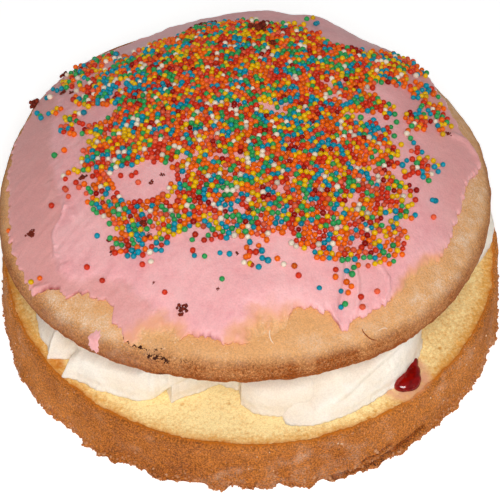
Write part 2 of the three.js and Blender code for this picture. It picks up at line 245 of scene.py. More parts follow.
# Ridges drawn in the icing: a path of points, half width, height
ICING_RIDGES = [
    ([(-70, -17), (-69, -22), (-66, -27), (-62, -33), (-60, -37)], 1.0, 0.7),
    ([(-43, -66), (-38, -70), (-32, -76.5), (-25, -82)], 1.1, 0.65),
    ([(38.5, -60), (39.8, -67), (39.6, -73), (38.6, -79)], 0.9, 1.1),
    ([(36.6, -61), (35.8, -67), (34.2, -74), (33, -80)], 1.0, -0.9),
    ([(50.6, -63), (50.8, -67), (49.2, -72), (45.6, -75.8), (42.6, -75)], 0.6, 0.9),
    ([(44, -58), (48.5, -60), (50.6, -63)], 0.8, 0.35),
    ([(79, 9), (84, 10), (88, 5), (90, 0)], 1.6, 1.0),
    ([(-58, -61), (-52, -64), (-46, -64)], 1.8, 0.35),
    ([(-77, -56), (-74, -59.8), (-69, -61)], 1.1, 1.5),
]
# Wide humps: x, y, half length, half width, turn, height
ICING_HUMPS = [
    (4, 80, 18, 11, 0, 1.4), (13, 80, 10, 8, 0, 1.0), (29, 75, 17, 11, 0, 2.0),
    (-36, 66, 18, 15, 0, -0.6), (-20, -60, 30, 12, -30, 0.35), (10, -72, 24, 6, 6, 0.4),
    (66, -30, 9, 26, -20, 0.4), (-75, -40, 9, 16, 20, 0.4), (30, -66, 5, 9, 0, 0.35),
    (56, 20, 7, 10, 0, 0.5),
]

# Where sprinkles lie thickly: x, y, half length, half width, turn, share of the surface covered
SPRINKLE_PATCHES = [
    (0, 36, 66, 29, 0, 1.05), (-8, 6, 60, 34, 0, 1.05), (28, -15, 35, 38, 0, 1.05),
    (-43, -12, 20, 12, -8, 1.0), (4, -38, 36, 21, 0, 0.97), (-34, -47, 19, 15, 0, 0.78),
    (-16, -36, 16, 19, 0, 0.85), (37, -50, 27, 15, 8, 0.9), (-49, -32, 8, 11, 10, 0.7),
    (50, 29, 18, 15, 0, 1.0), (60, 44, 14, 10, 0, 0.9), (42, 10, 19, 13, 0, 0.85),
    (71, 18, 10, 20, 8, 0.6), (65, 10, 6, 11, 0, 0.8), (58, -1, 7, 11, 0, 0.36), (75, 2, 8, 7, 0, 0.25),
    (66.5, -12, 8, 11, -20, 0.75), (-66, 36, 21, 36, 0, 0.45), (-68, 12, 12, 17, 0, 0.5),
    (-60, 52, 18, 12, 35, 0.6), (-66, -12, 15, 18, 0, 0.22), (-6, 55, 38, 11, 0, 1.0),
    (6, 61, 26, 7, 0, 0.6), (35, -66, 7, 8, 0, 0.5), (5, -60, 8, 7, 0, 0.45), (-42, -58, 8, 6, 0, 0.25),
    (-14, -60, 12, 6, 0, 0.35), (18, -60, 10, 6, 0, 0.35), (54, -31, 11, 17, 0, 0.5),
    (-60, -25, 10, 15, 0, 0.3), (0, 80, 50, 9, 0, 0.06), (-53, 30, 9, 17, 0, 0.95),
    (-51, -21, 6, 5, 0, 0.9), (-28, -20, 6, 4, 0, 0.8), (-45, -38, 7, 6, 0, 0.8),
    (52, -35, 9, 11, 0, 0.9), (-12, -54, 6, 4, 0, 0.5), (27, 67, 6, 5, 0, 0.5), (68, 20, 5, 5, 0, 0.9),
    (-52, 66, 12, 6, -30, 0.35), (-74, 42, 7, 7, 0, 0.5), (-66, -4, 6, 9, 0, 0.3),
    (-68, 57, 8, 9, 35, 0.5),
]
# Bare windows among them: x, y, half length, half width, turn, share taken away
SPRINKLE_GAPS = [
    (-53, 11, 9, 5.5, 12, 0.97), (-36, -28, 9, 6, -8, 0.95), (57, 19, 9, 8, -20, 0.97),
    (12, 3, 8, 5.5, 0, 0.5), (46, 4, 11, 4.5, 5, 0.45), (69, -5, 5, 5, 0, 0.8),
    (43, 51, 7, 6.5, 0, 0.95), (-68, 33, 6, 6, 0, 0.5), (-47, -51, 7, 10, 0, 0.6),
    (3, 59, 4, 3, 0, 0.6), (14, 66, 6, 4, 0, 0.6), (21, 67, 5, 6, 0, 0.75), (-69, 3, 5, 5, 0, 0.55),
    (-28, 58, 6, 5, 0, 0.6), (-20, 68, 8, 4, 0, 0.6), (-21, -60, 5, 8, 0, 0.8),
    (47, 57, 16, 11, -10, 0.98), (36, 51, 9, 5, 0, 0.95), (-18, 66, 10, 4, 0, 0.8),
    (-36, 63, 20, 9, 0, 1.0), (45, -22, 5, 4, 0, 0.5), (-40, 47, 6, 3, 10, 0.5),
    (38, -37, 5, 3, 20, 0.5), (73, 24, 4, 3, 0, 0.6), (-75, 10, 9, 40, 0, 0.5),
]
# Sprinkles that lie alone: x, y, colour
STRAY_SPRINKLES = [
    (-6.5, -69, "green"), (26.5, -71, "blue"), (34, -71, "blue"), (34, -76, "blue"),
    (35.3, -75, "green"), (-4, -60.5, "blue"), (-12.5, -61, "green"), (14.5, -64, "white"),
    (19.5, -67.5, "red"), (3, -64, "yellow"), (1, -63.5, "white"), (2.5, -61.3, "orange"),
    (7.2, -62, "blue"), (-53.5, -58.7, "red"), (-48, -64.5, "red"), (-34, -61.5, "red"),
    (-31, -61, "white"), (-26, -72, "red"), (-50.3, -48, "blue"), (-68.5, -29, "red"),
    (-63.5, -24, "red"), (-85.5, -30.5, "orange"), (46.4, -69, "salmon"), (41.2, -75, "salmon"),
    (40.6, -72, "red"), (69, -28.5, "blue"), (67.8, -28.7, "blue"), (68, -35.5, "salmon"),
    (43.5, -61, "salmon"), (-74, -57.3, "yellow"), (-71, -57, "orange"), (-39, -26, "red"),
    (-37.5, -25, "red"), (-36.5, -29.5, "salmon"), (-43, -25, "red"), (-78.5, 29, "green"),
    (-78, 27, "blue"),
]
SPRINKLE_DIAMETER = 2.15
# How large a share of the sprinkles has each colour
COLOUR_SHARES = {
    "orange": 0.235, "yellow": 0.155, "red": 0.18, "crimson": 0.03, "salmon": 0.07, "blue": 0.165,
    "green": 0.135, "white": 0.06,
}

# Dark crumbs on the icing: x, y, size, lift
DARK_CRUMBS = [
    (-83.6, 45.4, 4.2, 0.6), (-72.7, 61.8, 3.0, 0.8), (6.6, 52.9, 5.2, 2.2), (-16.9, 66.7, 2.4, 0.6),
    (-14.4, 65.6, 2.4, 0.6), (-11.3, 65.5, 2.4, 0.6), (-68.8, 36.6, 2.2, 1.2), (11.4, 40.7, 3.2, 2.0),
    (-75.5, -38, 2.6, 0), (-20, -77.6, 3.3, 0), (-46, -50, 2.0, 0), (-32, -30, 1.6, 0),
    (-28, -27, 1.6, 0), (-45, -55, 1.6, 0), (-34, -47, 2.2, 1.6), (-32, -52, 1.6, 1.6),
    (40.6, -72.2, 1.0, 0), (77, 8, 1.8, 0), (3, -45, 1.6, 1.6), (-1.5, -60, 1.2, 0), (-57, -21, 2.6, 0),
    (-66, 35, 1.8, 0), (-8, -72, 0.9, 0), (-30, -68, 0.8, 0),
]


# ---- Numbers spread over a surface ----


def wavy(mean, waves, angle):
    """A radius that isn't quite round: the mean plus a cosine and a sine for each lobe count."""
    value = mean + 0 * angle
    for lobes, cosine, sine in waves:
        value = value + cosine * np.cos(lobes * angle) + sine * np.sin(lobes * angle)
    return value


def eased(value, low, high):
    """0 below low, 1 above high, and the smooth 3t^2 - 2t^3 in between."""
    part = np.clip((value - low) / (high - low), 0, 1)
    return part * part * (3 - 2 * part)


def bell(distance, width):
    """1 at no distance, falling away as e to the minus square of the distance over the width."""
    return np.exp(-((distance / width) ** 2))


def around(pairs, angle, rounded=True):
    """A value read off (degrees, value) pairs that run once around, eased or straight between."""
    degrees, values = np.array(pairs, float).T
    degrees = np.append(degrees, degrees[0] + 360)
    values = np.append(values, values[0])
    turn = (np.degrees(angle) - degrees[0]) % 360 + degrees[0]
    if not rounded:
        return np.interp(turn, degrees, values)
    index = np.clip(np.searchsorted(degrees, turn, side="right") - 1, 0, len(degrees) - 2)
    part = eased(turn, degrees[index], degrees[index + 1])
    return values[index] + (values[index + 1] - values[index]) * part


def turn_from(middle, angle):
    """How far angles are turned from a direction in degrees, from -180 to 180 degrees."""
    return (np.degrees(angle) - middle + 180) % 360 - 180


def about_axis(radius, angle, height):
    """Points about the Z axis from radii, angles and heights whose shapes fit together."""
    x, y = radius * np.cos(angle), radius * np.sin(angle)
    return np.stack(np.broadcast_arrays(x, y, height), -1)


def on_plane(x, y):
    """The points at x and y with a height of 0."""
    return np.stack([x, y, 0 * x], -1)


def cell_values(cells, seed):
    """An even random value from -1 to 1 for each triple of whole numbers, by mixing their bits."""
    x, y, z = (cells[..., axis].astype(np.uint32) for axis in range(3))
    mixed = x * 374761393 + y * 668265263 + z * 1274126177 + np.uint32(seed * 974711 + 1013)
    mixed = (mixed ^ (mixed >> 13)) * np.uint32(1274126177)
    mixed = (mixed ^ (mixed >> 16)) * np.uint32(668265263)
    return (mixed ^ (mixed >> 15)) / 2.0**31 - 1


# Turns the noise's cubes away from the axes, so that no flat face lies along them
NOISE_TURN = np.array([[0.36, 0.48, -0.8], [-0.8, 0.6, 0.0], [0.48, 0.64, 0.6]])


def noise(points, size, seed):
    """Smooth noise from -1 to 1: random values at the corners of cubes, eased between them."""
    cells = points @ NOISE_TURN / size + 0.37 * seed
    low = np.floor(cells).astype(np.int64)
    part = cells - low
    part = part**3 * (part * (6 * part - 15) + 10)
    total = np.zeros(points.shape[:-1])
    for corner in np.ndindex(2, 2, 2):
        weight = np.prod(np.where(corner, part, 1 - part), axis=-1)
        total += weight * cell_values(low + np.array(corner), seed)
    return total


def rough(points, size, seed, octaves=3):
    """Noise at several sizes, each half as wide and two thirds as strong as the one before."""
    total, strength = np.zeros(points.shape[:-1]), 1.0
    for octave in range(octaves):
        total += strength * noise(points, size / 2**octave, seed + octave)
        strength *= 0.66
    return total


def patch(x, y, centre_x, centre_y, half_length, half_width, turn, softness):
    """How far into an ellipse a point is: 0 at its edge, eased to 1 at this share of the way in."""
    cosine, sine = math.cos(math.radians(turn)), math.sin(math.radians(turn))
    across = ((x - centre_x) * cosine + (y - centre_y) * sine) / half_length
    beside = ((y - centre_y) * cosine - (x - centre_x) * sine) / half_width
    return eased(1 - np.hypot(across, beside), 0, softness)


def patches(x, y, rows, together, softness=1.0):
    """Patches put together by np.add or np.maximum. A row ends with how strong its patch is."""
    value = np.zeros(np.shape(x))
    for *shape, strength in rows:
        value = together(value, strength * patch(x, y, *shape, softness))
    return value


def distance_to_path(x, y, path):
    """The distance in the plane to the nearest point of a path of straight pieces."""
    nearest = np.full(np.shape(x), np.inf)
    for (x0, y0), (x1, y1) in zip(path, path[1:]):
        length = (x1 - x0) ** 2 + (y1 - y0) ** 2
        t = np.clip(((x - x0) * (x1 - x0) + (y - y0) * (y1 - y0)) / length, 0, 1)
        nearest = np.minimum(nearest, np.hypot(x - x0 - t * (x1 - x0), y - y0 - t * (y1 - y0)))
    return nearest


def lines(x, y, rows, together):
    """Soft lines put together by np.add or np.maximum, each a bell across its path. A row is a
    path, how wide the bell is and how strong."""
    value = np.zeros(np.shape(x))
    for path, width, strength in rows:
        value = together(value, strength * bell(distance_to_path(x, y, path), width))
    return value


def spots(angle, level, rows, slant=0.0):
    """The strongest of several soft spots on a side, each a bell around times a bell up. A row is
    degrees, level, half turn, half height, strength, and the level slants by so much a degree."""
    value = 0 * angle * level
    for middle, rise, half_turn, half_height, strength in rows:
        turn = turn_from(middle, angle)
        spot = bell(turn, half_turn) * bell(level - rise - slant * turn, half_height)
        value = np.maximum(value, strength * spot)
    return value


# ---- Meshes ----


def add_object(name, data):
    """A new object in the scene."""
    item = bpy.data.objects.new(name, data)
    bpy.context.scene.collection.objects.link(item)
    return item


def finish_mesh(name, points, faces, material, values=None, replaces=()):
    """Puts points in millimetres and equal-sided faces into a new smooth mesh that rides the cake.

    Values are named numbers, one for each point, that the material can read.
    """
    faces = np.asarray(faces)
    mesh = bpy.data.meshes.new(name)
    mesh.vertices.add(len(points))
    mesh.vertices.foreach_set("co", (np.asarray(points) * MM).astype(np.float32).ravel())
    mesh.loops.add(faces.size)
    mesh.loops.foreach_set("vertex_index", faces.astype(np.int32).ravel())
    mesh.polygons.add(len(faces))
    mesh.polygons.foreach_set("loop_start", np.arange(0, faces.size, faces.shape[1], dtype=np.int32))
    mesh.update(calc_edges=True)
    mesh.validate()
    mesh.polygons.foreach_set("use_smooth", np.ones(len(mesh.polygons), dtype=bool))
    for key, numbers in (values or {}).items():
        attribute = mesh.attributes.new(key, "FLOAT", "POINT")
        attribute.data.foreach_set("value", np.asarray(numbers, np.float32).ravel())
    mesh.materials.append(material)
    piece = add_object(name, mesh)
    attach(piece, BODY)
    if replaces:
        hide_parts(*replaces)


def finish_skin(name, parts, material, values=None, replaces=()):
    """Makes a closed skin of triangles from its parts: a start, rings of points and an end, with
    the first and last ring drawn to a point. Rings is an array of rows, columns and xyz, and so
    is each value without the xyz."""
    start, rings, end = parts
    rows, columns, _ = rings.shape
    points = np.vstack([start, rings.reshape(-1, 3), end])
    here = np.arange(columns)
    after = (here + 1) % columns
    base = 1 + columns * np.arange(rows - 1)[:, None]
    near, far = base + here, base + after
    near_up, far_up = near + columns, far + columns
    last = 1 + columns * (rows - 1)
    faces = np.vstack([
        np.column_stack([np.zeros(columns, int), 1 + after, 1 + here]),
        np.stack([near, far, far_up], -1).reshape(-1, 3),
        np.stack([near, far_up, near_up], -1).reshape(-1, 3),
        np.column_stack([last + here, last + after, np.full(columns, len(points) - 1)]),
    ])
    flat = {
        key: np.concatenate([[grid[0].mean()], grid.ravel(), [grid[-1].mean()]])
        for key, grid in (values or {}).items()
    }
    finish_mesh(name, points, faces, material, flat, replaces)


def unit(vectors):
    """Vectors brought to a length of 1."""
    return vectors / np.maximum(np.linalg.norm(vectors, axis=-1, keepdims=True), 1e-9)


def ring_normals(rings):
    """Unit normals of a skin of rings, from the steps to the neighbours along and around it."""
    sideways = np.roll(rings, -1, axis=1) - np.roll(rings, 1, axis=1)
    return unit(np.cross(sideways, np.gradient(rings, axis=0)))


def steps(*stretches):
    """Values that run from one number to the next, each stretch as (from, to, count)."""
    return np.concatenate([np.linspace(a, b, count, endpoint=False) for a, b, count in stretches])


def columns_around(count):
    """Angles that go evenly once around, from the left."""
    return np.linspace(-math.pi, math.pi, count, endpoint=False)


def ball():
    """The points and faces of a ball of 80 triangles, which sprinkles and crumbs are made from.

    It is an icosahedron whose corners are plus or minus 1 and the golden ratio on two axes, and
    whose edges are 2 long. Each edge gets a middle, each face is cut in four between its middles,
    and all points are pushed out to a distance of 1.
    """
    golden = (1 + 5**0.5) / 2
    four = [(-1, golden, 0), (1, golden, 0), (-1, -golden, 0), (1, -golden, 0)]
    corners = np.vstack([np.roll(four, axis, axis=1) for axis in range(3)])
    index = np.array(list(itertools.combinations(range(len(corners)), 3)))
    sides = corners[index] - corners[np.roll(index, 1, axis=1)]
    index = index[(np.linalg.norm(sides, axis=-1) < 2.01).all(axis=1)]
    inward = np.linalg.det(corners[index]) < 0
    index[inward] = index[inward][:, ::-1]

    # An edge is known by its two corners, and edges are numbered as they first come up
    edges = np.sort(index[:, [[0, 1], [1, 2], [2, 0]]], axis=-1).reshape(-1, 2)
    _, first, which = np.unique(edges @ (len(corners), 1), return_index=True, return_inverse=True)
    number = np.argsort(np.argsort(first))[which].reshape(-1, 3)
    middles = corners[edges[np.sort(first)]].sum(axis=1)
    a, b, c = index.T
    ab, bc, ca = number.T + len(corners)
    faces = np.stack([a, ab, ca, b, bc, ab, c, ca, bc, ab, bc, ca], -1).reshape(-1, 3)
    return unit(np.vstack([corners, middles])), faces


BALL_POINTS, BALL_FACES = ball()


def turned_at_random(count, draws):
    """Rotation matrices from evenly random quaternions."""
    w, x, y, z = draws.normal(size=(count, 4)).T
    size = np.sqrt(w * w + x * x + y * y + z * z)
    w, x, y, z = w / size, x / size, y / size, z / size
    return np.stack([
        np.stack([1 - 2 * (y * y + z * z), 2 * (x * y - z * w), 2 * (x * z + y * w)], -1),
        np.stack([2 * (x * y + z * w), 1 - 2 * (x * x + z * z), 2 * (y * z - x * w)], -1),
        np.stack([2 * (x * z - y * w), 2 * (y * z + x * w), 1 - 2 * (x * x + y * y)], -1),
    ], 1)


def lumps(centres, sizes, draws, lumpy):
    """Many small balls as one mesh: each is made lumpy by pushing its points in and out, turned
    at random and scaled."""
    count = len(centres)
    shape = BALL_POINTS[None] * (1 + lumpy * draws.uniform(-1, 1, (count, len(BALL_POINTS), 1)))
    shape = np.einsum("nij,nkj->nki", turned_at_random(count, draws), shape)
    points = centres[:, None] + shape * sizes[:, None] / 2
    faces = BALL_FACES[None] + len(BALL_POINTS) * np.arange(count)[:, None, None]
    return points.reshape(-1, 3), faces.reshape(-1, 3)


def for_each_point(numbers):
    """One number for each ball, repeated over the ball's points."""
    return np.repeat(numbers, len(BALL_POINTS))


# ---- The lower layer's skin ----


# How far the torn foot stands out beyond its round: degrees and millimetres
FOOT_TEARS = [
    (-176.7, 0.2), (-164, -0.3), (-159.5, -0.9), (-155, 0.2), (-150, 1.2), (-144.5, 0.6), (-138, -1.0),
    (-131, -1.8), (-126.4, 0.4), (-124.6, 1.0), (-122.8, 1.9), (-121.5, 0.2), (-119.6, 0.8),
    (-118.2, -1.2), (-114, -0.8), (-109, 2.2), (-104.5, 0.6), (-100.6, 0.6), (-95.5, 1.6), (-94.6, 0.3),
    (-90.2, 0.4), (-86.5, 1.2), (-84, -0.6), (-79.8, 1.2), (-77.2, 2.2), (-75.6, 0.2), (-70.9, 0.4),
    (-66.5, 0.0), (-62.7, 0.6), (-60, -0.6), (-51.3, -0.4), (-45.3, -0.5), (-43, -0.9), (-39.6, -0.2),
    (-33.8, -0.3), (-31.5, -0.6), (-28, 0.2), (-23.7, 0.5), (-10, 0.6), (8, 0.9), (30, -0.6), (41, 1.2),
    (47, -0.5), (70, 0.8), (88, 0), (104, 1.2), (110, -0.4), (131, 0.6), (150, -0.8), (170, -0.4),
]
# Creases where a flap of crust has folded over: (degrees, height) points, half width, depth
FOOT_CREASES = [
    ([(-73, 1.6), (-70, 2.6), (-67, 2.2), (-63, 3.4), (-58, 4.8), (-53, 6.6), (-50.5, 7.4)], 0.75, 1.3),
    ([(-66, 5.4), (-62, 6.6), (-59, 8.2)], 0.45, 0.7), ([(36, 2), (41, 3.6), (47, 3)], 0.5, 1.0),
    ([(112, 3), (119, 4.4), (127, 3.4)], 0.5, 1.0),
]
# Where the torn foot fades into the side above it and into the flat underside
TEAR_HEIGHTS = (1, 15)
TEAR_RADII = (90, 99)
# A crease's flap: how far it hangs below the crease, and how wide it is
FLAP_DROP = 1.6
FLAP_WIDTH = 1.8
LOWER_COLUMNS = 840


def lower_profile():
    """Radii and heights from the middle of the underside out, up the side and back in."""
    brim_foot = LOWER_HEIGHT - LOWER_BRIM_DROP
    side = np.linspace(0, 1, 31)
    under = steps((4, 84, 5), (84, LOWER_FOOT_RADIUS - LOWER_FOOT_BEVEL, 6))
    brim = np.linspace(0, 1, 5)[1:]
    face = np.append(steps((CRUMB_RADIUS - 0.7, 60, 52), (60, 4, 8)), 4)
    radii = np.concatenate([
        under, [LOWER_FOOT_RADIUS - 1.2, LOWER_FOOT_RADIUS - 0.4],
        LOWER_FOOT_RADIUS + (LOWER_BRIM_RADIUS - LOWER_FOOT_RADIUS) * side,
        LOWER_BRIM_RADIUS + (CRUMB_RADIUS - LOWER_BRIM_RADIUS) * brim, face,
    ])
    heights = np.concatenate([
        0 * under, [0, 0.4], LOWER_FOOT_BEVEL + (brim_foot - LOWER_FOOT_BEVEL) * side,
        brim_foot + LOWER_BRIM_DROP * np.sin(brim * math.pi / 2), 0 * face + LOWER_HEIGHT,
    ])
    return radii[:, None], heights[:, None]


def lower_skin():
    """The rings of the lower layer's skin, and what its finish is worked out from.

    Each ring's radius is carried between the foot's waves and the rim's waves by height, with
    the torn foot added near the floor. Then the skin moves along its normal by noise: deep on
    the crust and deepest at the foot, fine on the crumb, with grooves along the creases.
    """
    radii, heights = lower_profile()
    angle = columns_around(LOWER_COLUMNS)[None]
    rise = heights / LOWER_HEIGHT
    reach = wavy(radii, LOWER_FOOT_WAVES, angle) * (1 - rise)
    reach = reach + wavy(radii, LOWER_RIM_WAVES, angle) * rise
    torn = around(FOOT_TEARS, angle, rounded=False)
    reach = reach + torn * (1 - eased(heights, *TEAR_HEIGHTS)) * eased(radii, *TEAR_RADII)
    rings = about_axis(reach, angle, heights)

    on_side = eased(radii, CRUMB_RADIUS - 0.5, LOWER_BRIM_RADIUS) * (heights > 0) + 0 * angle
    low = 1 - eased(heights, 0.5, 6) + 0 * angle
    dents = 0.9 * rough(rings, 11, 3) + 0.5 * rough(rings * (1, 1, 2), 2.4, 7)
    push = on_side * size_of("crust_relief") * dents
    tears = noise(rings * (1, 1, 0.4), 7, 11) + 0.9 * noise(rings * (1, 1, 0.5), 3.2, 12)
    tears = tears + 0.8 * noise(rings * (1, 1, 0.8), 1.6, 13)
    push = push + on_side * low * size_of("foot_relief") * (0.55 * tears - 0.1)
    groove = 0 * angle
    across = angle * LOWER_FOOT_RADIUS + 0 * heights
    up = heights + 0.8 * noise(rings * (1, 1, 0), 4, 17)
    for path, width, depth in FOOT_CREASES:
        path = [(math.radians(degrees) * LOWER_FOOT_RADIUS, height) for degrees, height in path]
        line = bell(distance_to_path(across, up, path), width)
        flap = bell(distance_to_path(across, up + FLAP_DROP, path), FLAP_WIDTH)
        push = push + on_side * depth * (0.7 * flap - 1.4 * line)
        groove = np.maximum(groove, line * on_side)
    pits = eased(noise(rings, 1.5, 14), 0.25, 0.7)
    face = (1 - on_side) * (heights > 1)
    push = push + face * (0.14 * rough(rings, 6, 15) - 0.25 * pits)
    rings = rings + push[..., None] * ring_normals(rings)
    rings[..., 2] += 1.1 * low * (radii > 90) * np.maximum(0, noise(rings * (1, 1, 0), 4.5, 18))
    rings[..., 2] = np.maximum(rings[..., 2], 0)
    return rings, radii, heights, angle, on_side, groove


# ---- The upper layer's dome: its solid's, a little sunken at the back ----


def dome_point(angle, reach):
    """A point of the dome: the radius grows with reach about a shifting centre, and the height
    falls as one less reach to the power of the fullness, less some shallow dents."""
    cosine, sine = np.cos(angle), np.sin(angle)
    skew = DOME_FULLNESS["to_back_right"] * np.sin(2 * angle) * (1 + sine) / 2
    lean = DOME_FULLNESS["to_back"] * sine + DOME_FULLNESS["to_right"] * cosine + skew
    fullness = DOME_FULLNESS["mean"] + lean * reach**2
    radius = wavy(UPPER_RADIUS, UPPER_WAVES, angle) * reach
    rise = np.maximum(0, 1 - reach**fullness) ** DOME_POWER
    droop = UPPER_SAG * np.cos(2 * angle) * reach
    x = radius * cosine + DOME_PEAK[0] * (1 - reach)
    y = radius * sine + DOME_PEAK[1] * (1 - reach)
    z = UPPER_SIDE + droop + (UPPER_HEIGHT - UPPER_SIDE) * rise - patches(x, y, DOME_DENTS, np.add)
    return np.stack([x, y, z], -1)


def dome_normal(angle, reach):
    """The dome's outward normal, from small steps inwards and around."""
    small = 0.004
    reach = np.maximum(reach, 2 * small)
    outwards = dome_point(angle, reach) - dome_point(angle, reach - small)
    sideways = dome_point(angle + small, reach) - dome_point(angle - small, reach)
    return unit(np.cross(outwards, sideways))


def to_cake(points):
    """From the upper layer's frame to the cake's: turned about X by the lean, then moved."""
    cosine, sine = math.cos(UPPER_LEAN), math.sin(UPPER_LEAN)
    x, y, z = points[..., 0], points[..., 1], points[..., 2]
    return np.stack([x, y * cosine - z * sine, y * sine + z * cosine], -1) + UPPER_CENTRE


def on_dome(x, y):
    """The angle and reach of the dome's point over a place, by repeated halving of the error."""
    reach = np.clip(np.hypot(x, y) / UPPER_RADIUS, 0.01, 1)
    for _ in range(40):
        across, along_y = x - DOME_PEAK[0] * (1 - reach), y - DOME_PEAK[1] * (1 - reach)
        angle = np.arctan2(along_y, across)
        found = np.hypot(across, along_y) / wavy(UPPER_RADIUS, UPPER_WAVES, angle)
        reach = 0.5 * reach + 0.5 * np.clip(found, 0, 1.2)
    return angle, reach


def underside_height(x, y):
    """The height of the upper layer's sagging, leaning underside over a place on the cake."""
    across = x - UPPER_CENTRE[0]
    along_y = (y - UPPER_CENTRE[1]) / math.cos(UPPER_LEAN)
    angle = np.arctan2(along_y, across)
    reach = np.hypot(across, along_y) / wavy(UPPER_RADIUS, UPPER_WAVES, angle)
    droop = UPPER_SAG * np.cos(2 * angle) * reach
    return UPPER_CENTRE[2] + along_y * math.sin(UPPER_LEAN) + droop * math.cos(UPPER_LEAN)


# ---- The icing's coat ----


def icing_edge(angle):
    """How far out the coat reaches, deckled by noise at three sizes."""
    circle = about_axis(UPPER_RADIUS, angle, 0.0)
    deckle = 0.006 * noise(circle, 6.0, 31) + 0.007 * noise(circle, 2.6, 32)
    deckle = deckle + 0.008 * rough(circle, 1.5, 33, 2)
    return np.minimum(around(ICING_REACH, angle, rounded=False) + deckle, ICING_LIMIT)


def icing_coat(angle, reach):
    """The coat over the dome: its thickness, how thin it has worn and where it is one coat alone.

    The thickness is two coats, each rounded off at its own edge, times what the thin patches
    leave, plus ridges, humps and fine brush strokes, all fading out towards the edge.
    """
    place = dome_point(angle, reach)
    x, y = place[..., 0], place[..., 1]
    flat = on_plane(x, y)
    edge = (icing_edge(angle) - reach) * UPPER_RADIUS
    worn = patches(x, y, THIN_PATCHES, np.maximum, softness=0.9)
    worn = np.clip(worn + 0.13 * rough(flat, 4, 41) * eased(worn, 0, 0.3), 0, 1)

    # The second coat ends in a crisp, raised edge on the left and melts into the first elsewhere
    second_edge = (around(SECOND_COAT_REACH, angle) - reach) * UPPER_RADIUS + rough(flat, 6, 44)
    turn = np.degrees(angle)
    crisp = eased(turn, *CRISP_FROM) * (1 - eased(turn, *CRISP_TO))
    second = crisp * eased(second_edge, 0, 0.9) + (1 - crisp) * eased(second_edge, -2, 5)
    second = second + 0.8 * crisp * bell(second_edge - 1.0, CRISP_LIP)
    thickness = (ICING_FIRST_COAT + ICING_SECOND_COAT * second) * (1 - 0.85 * worn)

    brushed = 0.16 * rough(flat, 16, 46, 2) + 0.08 * rough(flat, 4, 48, 2)
    at_back = eased(y, 30, 55) * (1 - eased(edge, 6, 14))
    brushed = brushed + 0.45 * rough(flat, 4.5, 56, 2) * at_back
    streaks = noise(on_plane(0.2 * (x + y), x - y), 2.6, 52)
    brushed = brushed + 0.13 * streaks * (0.3 + 0.7 * eased(-x, 20, 60))
    brushed = brushed + lines(x, y, ICING_RIDGES, np.add) + patches(x, y, ICING_HUMPS, np.add)
    bullnose = np.clip(edge / (1.1 * thickness), 0, 1)
    rounded = np.sqrt(np.maximum(0, 1 - (1 - bullnose) ** 2))
    thickness = thickness * rounded + brushed * eased(edge, 0, 2.5) * (1 - 0.7 * worn)
    single = np.maximum(1 - eased(second_edge, -1.5, 1.5), 0.8 * eased(x + 0.25 * y, 52, 74))
    return np.maximum(thickness, 0.05 * rounded), worn, single


def icing_surface(x, y, lift):
    """Places on the icing over points of the plane, lifted off it, and how far out they reach."""
    angle, reach = on_dome(x, y)
    thickness, _, _ = icing_coat(angle, reach)
    height = ICING_BASE + thickness + lift
    return to_cake(dome_point(angle, reach) + dome_normal(angle, reach) * height[..., None]), reach


# ---- Materials ----


def linear(red, green, blue):
    """A display colour, 0 to 255, as the linear light that materials use."""
    shares = np.array([red, green, blue]) / 255
    return tuple(np.where(shares <= 0.04045, shares / 12.92, ((shares + 0.055) / 1.055) ** 2.4))


def colour_of(name):
    """A colour from the cake's settings, as the four numbers that a socket takes."""
    return (*getattr(bpy.context.scene.cake_colours, name), 1.0)


